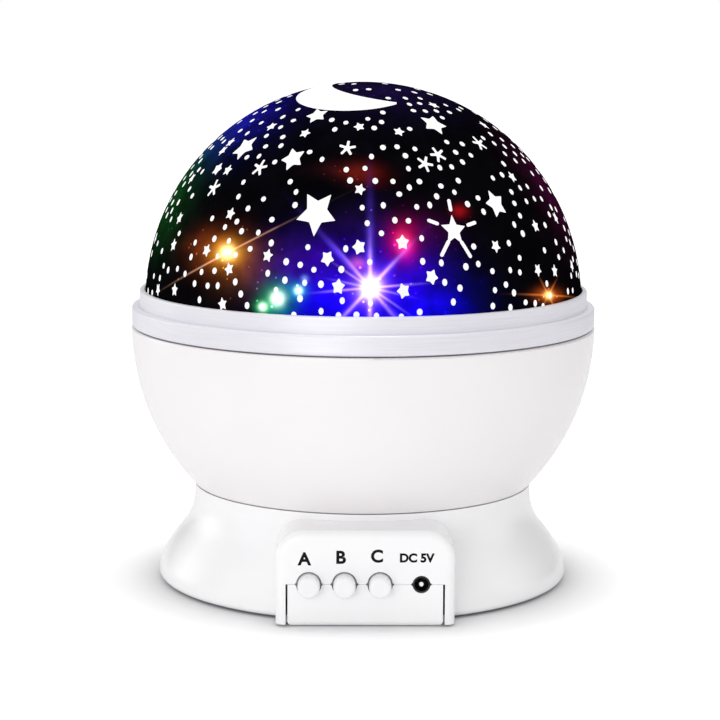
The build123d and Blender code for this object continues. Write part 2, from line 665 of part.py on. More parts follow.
    # Guide ribs that hold the foot of the control board.
    with BuildSketch(Plane.XY.offset(COVER_TOP_Z)):
        for rib_y in (BOARD_Y + GUIDE_PLAY, BOARD_Y - BOARD_T - GUIDE_PLAY - GUIDE_T):
            with Locations((0, rib_y)):
                with GridLocations(GUIDE_PITCH, 0, 2, 1):
                    Rectangle(GUIDE_WIDTH, GUIDE_T, align=(Align.CENTER, Align.MIN))
    extrude(amount=GUIDE_H)
bottom_cover.part.label = "bottom_cover"

with BuildPart() as cover_screws:
    with Locations(*[(x, y, BASE_Z + SEAT_PLAY) for x, y in BOSS_SPOTS]):
        add(screw(COVER_SCREW))
cover_screws.part.label = "cover_screws"

with BuildPart() as rubber_feet:
    with Locations(*FOOT_SPOTS):
        Cylinder(FOOT_R, FOOT_T, align=ON_FLOOR)
    fillet(rubber_feet.edges().group_by(Axis.Z)[0], FOOT_ROUND)
rubber_feet.part.label = "rubber_feet"

# The battery door, let into the cover and held by one screw through its ear
with BuildPart() as battery_door:
    with BuildSketch(Plane.XY.offset(BASE_Z)):
        with Locations((0, TRAY_Y)):
            door_half = TRAY_HALF + DOOR_LEDGE - DOOR_GAP
            door_length = TRAY_LENGTH + 2 * (DOOR_LEDGE - DOOR_GAP)
            RectangleRounded(2 * door_half, door_length, DOOR_CORNER_R - DOOR_GAP)
        with Locations((0, DOOR_EAR_Y)):
            Circle(DOOR_EAR_R - DOOR_GAP)
            Rectangle(2 * (DOOR_EAR_R - DOOR_GAP), DOOR_EAR_REACH, align=(Align.CENTER, Align.MAX))
    extrude(amount=DOOR_T)
    # Finger grooves at the front edge, and the screw's seat.
    with BuildSketch(Plane.XY.offset(BASE_Z)):
        with Locations((0, TRAY_Y - GRIP_BACK)):
            with GridLocations(0, GRIP_PITCH, 1, GRIP_COUNT):
                SlotOverall(GRIP_LENGTH, GRIP_WIDTH)
    extrude(amount=GRIP_DEPTH, mode=Mode.SUBTRACT)
    with BuildSketch(Plane.XY.offset(BASE_Z)):
        with Locations((0, DOOR_EAR_Y)):
            Circle(DOOR_SCREW.head_radius + HOLE_PLAY)
    extrude(amount=DOOR_SCREW.head_height, mode=Mode.SUBTRACT)
    with BuildSketch(Plane.XY.offset(BASE_Z)):
        with Locations((0, DOOR_EAR_Y)):
            Circle(DOOR_SCREW.shank_radius + HOLE_PLAY)
    extrude(amount=DOOR_T, mode=Mode.SUBTRACT)
battery_door.part.label = "battery_door"

with BuildPart() as battery_door_screw:
    with Locations((0, DOOR_EAR_Y, BASE_Z)):
        add(screw(DOOR_SCREW))
battery_door_screw.part.label = "battery_door_screw"

with BuildPart() as battery_cells:
    for n, cell_y in enumerate(CELL_YS):
        # The cells lie alternately, so the raised ends point left and right in turn.
        side = 1 if n % 2 else -1
        with BuildSketch(Plane.YZ):
            with Locations((cell_y, CELL_Z)):
                Circle(CELL_R)
        extrude(amount=CELL_LENGTH / 2 - CELL_NUB_T, both=True)
        with BuildSketch(Plane.YZ.offset(side * (CELL_LENGTH / 2 - CELL_NUB_T))):
            with Locations((cell_y, CELL_Z)):
                Circle(CELL_NUB_R)
        extrude(amount=side * CELL_NUB_T)
battery_cells.part.label = "battery_cells"

# Contacts: a strip across two neighbours at one end, single ones where the leads start
CONTACT_X = TRAY_HALF - CONTACT_T - SEAT_PLAY
CONTACT_PAIRS = {1: [(0, 1), (2, 3)], -1: [(0,), (1, 2), (3,)]}
with BuildPart() as battery_contacts:
    for side, groups in CONTACT_PAIRS.items():
        for group in groups:
            middle = sum(CELL_YS[n] for n in group) / len(group)
            strip_length = CONTACT_WIDTH + (len(group) - 1) * TRAY_LENGTH / 4
            with BuildSketch(Plane.YZ.offset(side * CONTACT_X)):
                with Locations((middle, CELL_Z)):
                    RectangleRounded(strip_length, CONTACT_H, CONTACT_CORNER_R)
            extrude(amount=side * CONTACT_T)
            # A pressed dimple meets the cell's end.
            with BuildSketch(Plane.YZ.offset(side * CONTACT_X)):
                with Locations(*[(CELL_YS[n], CELL_Z) for n in group]):
                    Circle(DIMPLE_R)
            extrude(amount=-side * (CONTACT_X - CELL_LENGTH / 2 - 2 * SEAT_PLAY), taper=DIMPLE_TAPER)
battery_contacts.part.label = "battery_contacts"

# The lamp stem, fixed to the deck, with the bearing that the bowl turns on
GROOVE_TOP_Z = CLIP_Z + CLIP_T + SEAT_PLAY
with BuildPart() as lamp_stem:
    with BuildSketch(FRONT) as section_face:
        with BuildLine():
            Polyline(
                (STEM_BORE_R, DECK_TOP_Z),
                (STEM_FLANGE_R, DECK_TOP_Z),
                (STEM_FLANGE_R, DECK_TOP_Z + STEM_FLANGE_T),
                (SHOULDER_R, DECK_TOP_Z + STEM_FLANGE_T),
                (SHOULDER_R, SHOULDER_Z),
                (BEARING_R, SHOULDER_Z),
                (BEARING_R, CLIP_Z),
                (CLIP_GROOVE_R, CLIP_Z),
                (CLIP_GROOVE_R, GROOVE_TOP_Z),
                (CLIP_LAND_R, GROOVE_TOP_Z),
                (CLIP_LAND_R, GROOVE_TOP_Z + CLIP_LAND_T),
                (STEM_TAPER_R, GROOVE_TOP_Z + CLIP_LAND_T + CLIP_LAND_TAPER),
                (STEM_TOP_R, STEM_TOP_Z),
                (STEM_TOP_BORE_R, STEM_TOP_Z),
                (STEM_TOP_BORE_R, STEM_TOP_Z - STEM_TOP_BORE_DEPTH),
                (STEM_BORE_R, STEM_TOP_Z - STEM_TOP_BORE_DEPTH - STEM_BORE_TAPER),
                close=True,
            )
        make_face()
    revolve(axis=Axis.Z)
    with BuildSketch(Plane.XY.offset(DECK_TOP_Z)):
        with PolarLocations(STEM_SCREW_CIRCLE_R, STEM_SCREW_COUNT, start_angle=90):
            Circle(STEM_SCREW.shank_radius + HOLE_PLAY)
    extrude(amount=STEM_FLANGE_T, mode=Mode.SUBTRACT)
    with BuildSketch(Plane.XY.offset(STEM_TOP_Z)):
        with PolarLocations(LED_SCREW_CIRCLE_R, 2, start_angle=LED_SCREW_ANGLE):
            Circle(LED_SCREW.shank_radius)
    extrude(amount=-LED_SCREW.shank_length, mode=Mode.SUBTRACT)
lamp_stem.part.label = "lamp_stem"

with BuildPart() as stem_screws:
    with PolarLocations(STEM_SCREW_CIRCLE_R, STEM_SCREW_COUNT, start_angle=90):
        with Locations((0, 0, DECK_TOP_Z + STEM_FLANGE_T + STEM_SCREW.head_height)):
            add(screw(STEM_SCREW), rotation=(180, 0, 0))
stem_screws.part.label = "stem_screws"

with BuildPart() as thrust_washer:
    with BuildSketch(Plane.XY.offset(SHOULDER_Z)):
        Circle(SHOULDER_R)
        Circle(BEARING_R + SEAT_PLAY, mode=Mode.SUBTRACT)
    extrude(amount=FLOOR_Z - SHOULDER_Z - SEAT_PLAY)
thrust_washer.part.label = "thrust_washer"

with BuildPart() as hub_clip:
    with BuildSketch(Plane.XY.offset(CLIP_Z)):
        add(sector(CLIP_INNER_R, CLIP_OUTER_R, CLIP_OPENING / 2, 360 - CLIP_OPENING))
        for hole_angle in (CLIP_HOLE_ANGLE, -CLIP_HOLE_ANGLE):
            with PolarLocations(CLIP_HOLE_CIRCLE_R, 1, start_angle=hole_angle):
                Circle(CLIP_HOLE_R, mode=Mode.SUBTRACT)
    extrude(amount=CLIP_T)
hub_clip.part.label = "hub_clip"

# The LED board on top of the stem, with its four lamps
with BuildPart() as led_board:
    with BuildSketch(Plane.XY.offset(STEM_TOP_Z)):
        Circle(LED_BOARD_R)
        Circle(LED_BOARD_BORE_R, mode=Mode.SUBTRACT)
        with PolarLocations(LED_SCREW_CIRCLE_R, 2, start_angle=LED_SCREW_ANGLE):
            Circle(LED_SCREW.shank_radius + HOLE_PLAY, mode=Mode.SUBTRACT)
    extrude(amount=LED_BOARD_T)
led_board.part.label = "led_board"

with BuildPart() as led_board_screws:
    with PolarLocations(LED_SCREW_CIRCLE_R, 2, start_angle=LED_SCREW_ANGLE):
        with Locations((0, 0, STEM_TOP_Z + LED_BOARD_T + LED_SCREW.head_height)):
            add(screw(LED_SCREW), rotation=(180, 0, 0))
led_board_screws.part.label = "led_board_screws"


def lamp(angle):
    """Round LED with its collar, standing on the board at the angle."""
    with BuildPart(mode=Mode.PRIVATE) as one:
        with BuildSketch(FRONT):
            with BuildLine():
                foot_z = STEM_TOP_Z + LED_BOARD_T
                shoulder_z = foot_z + LED_COLLAR_T
                Polyline(
                    (0, foot_z),
                    (LED_COLLAR_R, foot_z),
                    (LED_COLLAR_R, shoulder_z),
                    (LED_R, shoulder_z),
                    (LED_R, shoulder_z + LED_BODY_H),
                )
                tip = CenterArc((0, shoulder_z + LED_BODY_H), LED_R, 0, 90)
                Line(tip @ 1, (0, foot_z))
            make_face()
        revolve(axis=Axis.Z)
    return Pos(LED_CIRCLE_R * cos(radians(angle)), LED_CIRCLE_R * sin(radians(angle)), 0) * one.part


lamps = {}
for name, angle in LAMP_ANGLES.items():
    lamps[name] = lamp(angle)
    lamps[name].label = name

# The drive: motor, gearbox, output shaft and pinion
with BuildPart() as gearbox_case:
    with BuildSketch(Plane.XY.offset(GEARBOX_Z)):
        with Locations((0, PINION_Y)):
            RectangleRounded(2 * GEARBOX_HALF, GEARBOX_DEPTH, GEARBOX_CORNER_R)
    extrude(amount=LID_Z - GEARBOX_Z)
    fillet(gearbox_case.edges().group_by(Axis.Z)[0], GEARBOX_ROUND)
    with BuildSketch(Plane.XY.offset(LID_Z)):
        with Locations((0, PINION_Y)):
            Circle(SHAFT_HOLE_R)
    extrude(amount=-SHAFT_BORE_DEPTH, mode=Mode.SUBTRACT)
gearbox_case.part.label = "gearbox_case"

with BuildPart() as gearbox_lid:
    with BuildSketch(Plane.XY.offset(LID_Z)):
        with Locations((0, PINION_Y)):
            RectangleRounded(2 * GEARBOX_HALF, GEARBOX_DEPTH, GEARBOX_CORNER_R)
        with Locations(*GEARBOX_SCREW_SPOTS):
            Rectangle(2 * GEARBOX_EAR_R, 2 * GEARBOX_EAR_R)
    extrude(amount=DECK_Z - LID_Z)
    with BuildSketch(Plane.XY.offset(DECK_Z)):
        with Locations((0, PINION_Y)):
            Circle(GEARBOX_COLLAR_R)
    extrude(amount=GEARBOX_COLLAR_H)
    with BuildSketch(Plane.XY.offset(LID_Z)):
        with Locations((0, PINION_Y)):
            Circle(SHAFT_HOLE_R)
    extrude(amount=DECK_Z - LID_Z + GEARBOX_COLLAR_H, mode=Mode.SUBTRACT)
    with BuildSketch(Plane.XY.offset(LID_Z)):
        with Locations(*GEARBOX_SCREW_SPOTS):
            Circle(GEARBOX_SCREW.shank_radius + HOLE_PLAY)
    extrude(amount=DECK_Z - LID_Z, mode=Mode.SUBTRACT)
gearbox_lid.part.label = "gearbox_lid"

with BuildPart() as gearbox_screws:
    with Locations(*[(x, y, LID_Z - GEARBOX_SCREW.head_height) for x, y in GEARBOX_SCREW_SPOTS]):
        add(screw(GEARBOX_SCREW))
gearbox_screws.part.label = "gearbox_screws"

with BuildPart() as drive_motor:
    with BuildSketch(Plane.YZ.offset(GEARBOX_HALF)):
        with Locations((PINION_Y, MOTOR_Z)):
            Circle(MOTOR_R)
            Rectangle(MOTOR_FLATS, 2 * MOTOR_R, mode=Mode.INTERSECT)
    extrude(amount=MOTOR_LENGTH)
    with BuildSketch(Plane.YZ.offset(GEARBOX_HALF + MOTOR_LENGTH)):
        with Locations((PINION_Y, MOTOR_Z)):
            Circle(MOTOR_HUB_R)
    extrude(amount=MOTOR_HUB_T)
drive_motor.part.label = "drive_motor"

with BuildPart() as output_shaft:
    with Locations((0, PINION_Y, LID_Z - SHAFT_DEPTH)):
        Cylinder(SHAFT_R, GEAR_Z + GEAR_T - 2 * SEAT_PLAY - LID_Z + SHAFT_DEPTH, align=ON_FLOOR)
    chamfer(output_shaft.edges().group_by(Axis.Z)[-1], SHAFT_TIP)
output_shaft.part.label = "output_shaft"

with BuildPart() as drive_pinion:
    with BuildSketch(Plane.XY.offset(GEAR_Z + SEAT_PLAY)):
        with Locations((0, PINION_Y)):
            Circle(PINION_ROOT_R)
        with Locations((0, PINION_Y)):
            with PolarLocations(0, PINION_TEETH, start_angle=-90):
                add(tooth(PINION_TEETH, TOOTH_PLAY, PINION_ROOT_R, PINION_TIP_R))
        with Locations((0, PINION_Y)):
            Circle(SHAFT_R, mode=Mode.SUBTRACT)
    extrude(amount=GEAR_T - 4 * SEAT_PLAY)
    with BuildSketch(Plane.XY.offset(GEAR_Z + SEAT_PLAY)):
        with Locations((0, PINION_Y)):
            Circle(PINION_HUB_R)
            Circle(SHAFT_R, mode=Mode.SUBTRACT)
    extrude(amount=-PINION_HUB_T)
drive_pinion.part.label = "drive_pinion"

# The control board, upright behind the panel, with what it carries
with BuildPart() as control_board:
    with BuildSketch(FRONT.offset(-BOARD_Y)):
        with Locations((0, COVER_TOP_Z + SEAT_PLAY)):
            board_height = DECK_Z - COVER_TOP_Z - SEAT_PLAY - BOARD_TOP_PLAY
            Rectangle(BOARD_WIDTH, board_height, align=(Align.CENTER, Align.MIN))
    extrude(amount=BOARD_T)
control_board.part.label = "control_board"

BOARD_FRONT = BOARD_T - BOARD_Y
with BuildPart() as control_chip:
    with BuildSketch(FRONT.offset(-BOARD_Y)):
        with Locations((CHIP_X, CHIP_Z)):
            Rectangle(*CHIP_SIZE)
    extrude(amount=-CHIP_T)
    chamfer(control_chip.faces().sort_by(Axis.Y)[-1].edges(), CHIP_EDGE)
    with BuildSketch(FRONT.offset(-BOARD_Y)):
        with Locations((CHIP_X, CHIP_Z)):
            with GridLocations(CHIP_LEG_PITCH, CHIP_LEG_SPAN, CHIP_LEG_COUNT, 2):
                Rectangle(*CHIP_LEG_SIZE)
    extrude(amount=-CHIP_LEG_T)
control_chip.part.label = "control_chip"

with BuildPart() as tact_switches:
    with BuildSketch(FRONT.offset(BOARD_FRONT)):
        with Locations(*[(x, SPLIT_Z) for x in BUTTON_X.values()]):
            Rectangle(SWITCH_SIDE, SWITCH_SIDE)
    extrude(amount=SWITCH_T)
    with BuildSketch(FRONT.offset(BOARD_FRONT + SWITCH_T)):
        with Locations(*[(x, SPLIT_Z) for x in BUTTON_X.values()]):
            Circle(PLUNGER_R)
    extrude(amount=PLUNGER_T)
tact_switches.part.label = "tact_switches"

with BuildPart() as dc_jack:
    with BuildSketch(FRONT.offset(BOARD_FRONT)):
        with Locations((INLET_X, SPLIT_Z)):
            RectangleRounded(JACK_SIDE, JACK_SIDE, JACK_CORNER_R)
    extrude(amount=JACK_BODY_T)
    with BuildSketch(FRONT.offset(BOARD_FRONT + JACK_BODY_T)):
        with Locations((INLET_X, SPLIT_Z)):
            Circle(INLET_R)
    extrude(amount=BOX_FRONT - SEAT_PLAY - BOARD_FRONT - JACK_BODY_T)
    with BuildSketch(FRONT.offset(BOX_FRONT)):
        with Locations((INLET_X, SPLIT_Z)):
            Circle(INLET_BORE_R)
    extrude(amount=-JACK_BORE_DEPTH, mode=Mode.SUBTRACT)
dc_jack.part.label = "dc_jack"

with BuildPart() as dc_jack_pin:
    with BuildSketch(FRONT.offset(BOX_FRONT - JACK_BORE_DEPTH)):
        with Locations((INLET_X, SPLIT_Z)):
            Circle(INLET_PIN_R)
    extrude(amount=JACK_BORE_DEPTH - SEAT_PLAY)
    chamfer(dc_jack_pin.faces().sort_by(Axis.Y)[0].edges(), PIN_TIP)
dc_jack_pin.part.label = "dc_jack_pin"

# Each button is one moulding: a cap, a flange that keeps it in, and a stem to its switch
STEM_END = BOARD_FRONT + SWITCH_T + PLUNGER_T + BUTTON_TRAVEL + SEAT_PLAY
buttons = {}
for name, button_x in BUTTON_X.items():
    with BuildPart() as button:
        flange_front = BOX_FRONT - WALL - HOLE_PLAY
        with BuildSketch(FRONT.offset(flange_front)):
            with Locations((button_x, SPLIT_Z)):
                Circle(BUTTON_R)
        extrude(amount=BOX_FRONT + BUTTON_OUT - flange_front)
        fillet(button.faces().sort_by(Axis.Y)[0].edges(), BUTTON_ROUND)
        with BuildSketch(FRONT.offset(flange_front)):
            with Locations((button_x, SPLIT_Z)):
                Circle(BUTTON_FLANGE_R)
        extrude(amount=-BUTTON_FLANGE_T)
        with BuildSketch(FRONT.offset(flange_front - BUTTON_FLANGE_T)):
            with Locations((button_x, SPLIT_Z)):
                Circle(BUTTON_STEM_R)
        extrude(amount=STEM_END - flange_front + BUTTON_FLANGE_T)
    button.part.label = name
    buttons[name] = button.part

# Leads: the harness down the stem, and the motor's and the battery's pairs
HARNESS_ROUTE = [
    (0, 0, STEM_TOP_Z),
    (0, 0, HARNESS_Z),
    (-16, 3, HARNESS_Z),
    (-20.5, -9, HARNESS_Z),
    (-20.5, -33, HARNESS_Z),
    (-16, -40.5, HARNESS_Z),
    (-16, BOARD_Y, HARNESS_Z),
]
MOTOR_ROUTE = [(29, -27.5), (32, -27.5), (30.5, -35), (17.5, -40), (17.5, BOARD_Y)]
MOTOR_LEAD_ZS = (8.5, 11.5)
CONTACT_BACK = -CONTACT_X - CONTACT_T
BATTERY_ROUTES = [
    [(CONTACT_BACK, CELL_YS[0]), (-30, CELL_YS[0]), (-30, -29), (-15, -40.5), (-15, BOARD_Y)],
    [(CONTACT_BACK, CELL_YS[3]), (-31.5, CELL_YS[3]), (-31.5, -27), (-11, -40.5), (-11, BOARD_Y)],
]
with BuildPart() as led_harness:
    add(lead(HARNESS_ROUTE, HARNESS_R))
led_harness.part.label = "led_harness"

with BuildPart() as motor_leads:
    for z in MOTOR_LEAD_ZS:
        add(lead([(x, y, z) for x, y in MOTOR_ROUTE], LEAD_R))
motor_leads.part.label = "motor_leads"

with BuildPart() as battery_leads:
    for route, (_, z) in zip(BATTERY_ROUTES, LEAD_EXITS):
        add(lead([(x, y, z) for x, y in route], LEAD_R))
battery_leads.part.label = "battery_leads"

pieces = [
    dome_cover, star_film, trim_ring, bowl, ring_gear, ring_gear_screws, base_housing, bottom_cover,
    cover_screws, rubber_feet, battery_door, battery_door_screw, battery_cells, battery_contacts,
    lamp_stem, stem_screws, thrust_washer, hub_clip, led_board, led_board_screws, gearbox_case,
    gearbox_lid, gearbox_screws, drive_motor, output_shaft, drive_pinion, control_board,
    control_chip, tact_switches, dc_jack, dc_jack_pin, led_harness, motor_leads, battery_leads,
]
os.makedirs("parts", exist_ok=True)
for piece in pieces:
    export_step(piece.part, f"parts/{piece.part.label}.step")
for name, shape in {**lamps, **buttons}.items():
    export_step(shape, f"parts/{name}.step")
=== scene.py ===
from collections import namedtuple
from math import acos, cos, exp, hypot, pi, radians, sin, tau

import bmesh
import bpy
from mathutils import Matrix, Vector


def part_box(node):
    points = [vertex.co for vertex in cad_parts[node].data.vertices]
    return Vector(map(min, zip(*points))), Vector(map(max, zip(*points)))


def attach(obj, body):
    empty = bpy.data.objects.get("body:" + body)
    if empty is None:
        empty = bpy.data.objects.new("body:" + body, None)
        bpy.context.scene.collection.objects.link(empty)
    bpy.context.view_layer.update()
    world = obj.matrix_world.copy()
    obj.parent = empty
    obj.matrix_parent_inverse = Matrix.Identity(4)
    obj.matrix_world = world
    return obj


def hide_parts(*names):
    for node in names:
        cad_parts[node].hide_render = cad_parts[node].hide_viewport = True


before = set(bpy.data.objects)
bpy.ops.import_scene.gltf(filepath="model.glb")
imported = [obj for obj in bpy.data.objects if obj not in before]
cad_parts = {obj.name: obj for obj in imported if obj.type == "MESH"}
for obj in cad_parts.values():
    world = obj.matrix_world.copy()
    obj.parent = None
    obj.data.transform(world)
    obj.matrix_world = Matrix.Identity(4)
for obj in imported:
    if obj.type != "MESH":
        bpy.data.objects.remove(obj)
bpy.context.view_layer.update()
scene = bpy.context.scene
MM = 0.001
WHITE = (1, 1, 1)


# -------------------------------- camera
# A long lens a little above the dome's top, looking slightly down on the control panel.
CAMERA_PLACE = Vector((-9.47, -645.9, 159.6)) * MM
CAMERA_TURN = radians(-0.84)
CAMERA_TILT = radians(90 - 8.85)
CAMERA_ROLL = radians(0.27)
CAMERA_LENS = 120.25
CAMERA_SHIFT = -0.0042
CAMERA_CLIP = (0.01, 100)


def make_camera():
    """The scene's camera, at its place and turned, tilted and rolled."""
    data = bpy.data.cameras.new("camera")
    data.lens = CAMERA_LENS
    data.shift_x = CAMERA_SHIFT
    data.clip_start, data.clip_end = CAMERA_CLIP
    camera = bpy.data.objects.new("camera", data)
    turn = Matrix.Rotation(CAMERA_TURN, 4, "Z") @ Matrix.Rotation(CAMERA_TILT, 4, "X")
    roll = Matrix.Rotation(CAMERA_ROLL, 4, "Z")
    camera.matrix_world = Matrix.Translation(CAMERA_PLACE) @ turn @ roll
    scene.collection.objects.link(camera)
    scene.camera = camera


make_camera()


# -------------------------------- small helpers
def linear(colour):
    """Linear RGBA of an sRGB hex colour."""
    channels = [int(colour[i : i + 2], 16) / 255 for i in (1, 3, 5)]
    bent = [c / 12.92 if c <= 0.04045 else ((c + 0.055) / 1.055) ** 2.4 for c in channels]
    return (*bent, 1.0)


def add(tree, kind, inputs=None, **settings):
    """Adds a node with its settings. An input is a value, or the output that links to it."""
    node = tree.nodes.new(kind)
    for name, value in settings.items():
        setattr(node, name, value)
    for key, value in (inputs or {}).items():
        if isinstance(value, bpy.types.NodeSocket):
            tree.links.new(value, node.inputs[key])
        else:
            node.inputs[key].default_value = value
    return node


def mesh_object(name, mesh):
    """Object of a mesh, in the scene and at the origin."""
    made = bpy.data.objects.new(name, mesh)
    scene.collection.objects.link(made)
    return made


def from_bmesh(name, shape, material):
    """Object of a bmesh, its normals turned outwards."""
    bmesh.ops.recalc_face_normals(shape, faces=shape.faces)
    mesh = bpy.data.meshes.new(name)
    shape.to_mesh(mesh)
    shape.free()
    mesh.materials.append(material)
    return mesh_object(name, mesh)


def plain_copy(thing):
    """Plain mesh of an object as its modifiers leave it."""
    graph = bpy.context.evaluated_depsgraph_get()
    return bpy.data.meshes.new_from_object(thing.evaluated_get(graph), depsgraph=graph)


# -------------------------------- materials
def new_material(name, sockets):
    """Material with one Principled shader, and its tree, shader and object coordinates."""
    made = bpy.data.materials.new(name)
    made.use_nodes = True
    tree = made.node_tree
    tree.nodes.clear()
    shader = add(tree, "ShaderNodeBsdfPrincipled", sockets)
    add(tree, "ShaderNodeOutputMaterial", {"Surface": shader.outputs["BSDF"]})
    place = add(tree, "ShaderNodeTexCoord").outputs["Object"]
    return made, tree, shader, place


def give_colour(tree, shader, factor, first, second):
    """Base colour that goes from the first hex colour to the second with the factor."""
    colours = {6: linear(first), 7: linear(second)}
    mixed = add(tree, "ShaderNodeMix", {0: factor, **colours}, data_type="RGBA")
    tree.links.new(mixed.outputs[2], shader.inputs["Base Color"])


def give_bump(tree, shader, height, depth_mm):
    """Relief of a real depth on the shader's normal."""
    bump = add(tree, "ShaderNodeBump", {"Height": height, "Distance": depth_mm * MM})
    tree.links.new(bump.outputs["Normal"], shader.inputs["Normal"])


def give_roughness(tree, shader, value, low, high):
    """Roughness between two limits, as a 0 to 1 value says."""
    ranged = add(tree, "ShaderNodeMapRange", {"Value": value, "To Min": low, "To Max": high})
    tree.links.new(ranged.outputs["Result"], shader.inputs["Roughness"])


def drawn_out_lines(tree, place, lay_mm, detail):
    """Noise drawn out into fine lines: the size of its features along X, Y and Z."""
    scale = [1 / (step * MM) for step in lay_mm]
    drawn = add(tree, "ShaderNodeMapping", {"Vector": place, "Scale": scale}).outputs["Vector"]
    pattern = {"Vector": drawn, "Scale": 1.0, "Detail": detail}
    return add(tree, "ShaderNodeTexNoise", pattern).outputs["Fac"]


ABS_IOR = 1.53
PEEL_MM, PEEL_DEPTH_MM = 1.6, 0.004


def moulded_plastic(name, light, dark, roughness, cloud_mm=22.0):
    """Injection-moulded plastic: an even colour with very faint flow clouds, and the slight orange
    peel that a polished tool leaves, which makes the highlights soft at their edges."""
    made, tree, shader, place = new_material(name, {"Roughness": roughness, "IOR": ABS_IOR})
    flow = {"Vector": place, "Scale": 1 / (cloud_mm * MM), "Detail": 3.0}
    clouds = add(tree, "ShaderNodeTexNoise", flow).outputs["Fac"]
    give_colour(tree, shader, clouds, light, dark)
    give_roughness(tree, shader, clouds, roughness * 0.85, roughness * 1.15)
    orange_peel = {"Vector": place, "Scale": 1 / (PEEL_MM * MM), "Detail": 1.0}
    peel = add(tree, "ShaderNodeTexNoise", orange_peel).outputs["Fac"]
    give_bump(tree, shader, peel, PEEL_DEPTH_MM)
    return made


def turned_ring_abs(name, lay_mm=(14.0, 14.0, 0.35)):
    """The trim ring's pearl ABS: satin, with a little silver in it, and fine lines round it from
    the turned tool. They are drawn coarser than the real ones, so that they show."""
    made, tree, shader, place = new_material(name, {"IOR": ABS_IOR, "Metallic": 0.22})
    lines = drawn_out_lines(tree, place, lay_mm, detail=4.0)
    give_colour(tree, shader, lines, "#eeedf2", "#dddbe4")
    give_roughness(tree, shader, lines, 0.34, 0.5)
    give_bump(tree, shader, lines, depth_mm=0.012)
    return made


def foot_rubber(name, grain_mm=0.3):
    """Moulded rubber: dark grey and dull, with a fine grain."""
    made, tree, shader, place = new_material(name, {"IOR": 1.5, "Specular IOR Level": 0.35})
    cells = {"Vector": place, "Scale": 1 / (grain_mm * MM)}
    grain = add(tree, "ShaderNodeTexVoronoi", cells).outputs["Distance"]
    give_colour(tree, shader, grain, "#2b2b2d", "#3a3a3c")
    give_roughness(tree, shader, grain, 0.7, 0.9)
    give_bump(tree, shader, grain, depth_mm=0.03)
    return made


def plated_metal(name, light, dark, roughness, lay_mm=(0.2, 6.0, 6.0)):
    """Plated or drawn metal: brushed along one axis, so its highlights are drawn out across it."""
    made, tree, shader, place = new_material(name, {"Metallic": 1.0})
    lines = drawn_out_lines(tree, place, lay_mm, detail=3.0)
    give_colour(tree, shader, lines, light, dark)
    give_roughness(tree, shader, lines, roughness * 0.7, roughness * 1.3)
    give_bump(tree, shader, lines, depth_mm=0.004)
    return made


def circuit_board(name, mask, copper, track_mm=2.4):
    """Fibreglass board under solder mask: straight copper tracks show through it, lighter."""
    made, tree, shader, place = new_material(name, {"IOR": 1.55, "Coat Weight": 0.4})
    grid = {"Vector": place, "Scale": 1 / (track_mm * MM), "Mortar Size": 0.08}
    tracks = add(tree, "ShaderNodeTexBrick", grid).outputs["Fac"]
    give_colour(tree, shader, tracks, mask, copper)
    give_roughness(tree, shader, tracks, 0.35, 0.25)
    give_bump(tree, shader, tracks, depth_mm=0.03)
    return made


def cast_epoxy_led(name, colour, haze_mm=3.0):
    """Clear tinted epoxy of a 5 mm LED, cast in a polished mould, with a lit chip inside."""
    made, tree, shader, place = new_material(
        name, {"IOR": 1.54, "Transmission Weight": 0.55, "Emission Color": linear(colour)}
    )
    cloudy = {"Vector": place, "Scale": 1 / (haze_mm * MM)}
    haze = add(tree, "ShaderNodeTexNoise", cloudy).outputs["Fac"]
    give_colour(tree, shader, haze, colour, "#ffffff")
    give_roughness(tree, shader, haze, 0.05, 0.16)
    glow = add(tree, "ShaderNodeMapRange", {"Value": haze, "To Min": 0.5, "To Max": 1.1})
    tree.links.new(glow.outputs["Result"], shader.inputs["Emission Strength"])
    return made


HALF_WAVE = 0.16  # half the period of a wave texture of scale 1


def extruded_pvc(name, first, second, jacket_mm=1.25):
    """Extruded PVC insulation: two leads of a pair take turns in colour along the X axis."""
    made, tree, shader, place = new_material(name, {"IOR": ABS_IOR})
    pair = {"Vector": place, "Scale": HALF_WAVE / (jacket_mm * MM)}
    bands = add(tree, "ShaderNodeTexWave", pair).outputs["Fac"]
    give_colour(tree, shader, bands, first, second)
    give_roughness(tree, shader, bands, 0.4, 0.5)
    return made


def clear_polystyrene(name, flow_mm=30.0):
    """Injection-moulded clear polystyrene: glassy, with faint flow lines in it."""
    made, tree, shader, place = new_material(
        name, {"IOR": 1.59, "Transmission Weight": 1.0, "Base Color": linear("#fbfcfd")}
    )
    lines = {"Vector": place, "Scale": 1 / (flow_mm * MM), "Distortion": 2.0}
    flow = add(tree, "ShaderNodeTexNoise", lines).outputs["Fac"]
    give_roughness(tree, shader, flow, 0.02, 0.08)
    give_bump(tree, shader, flow, depth_mm=0.02)
    return made


CELL_END = 22.3 * MM  # how far the cells reach from the middle, along X
CELL_RIM, CELL_DARK, CELL_COPPER = "#b9bcc0", "#26282e", "#b4763c"


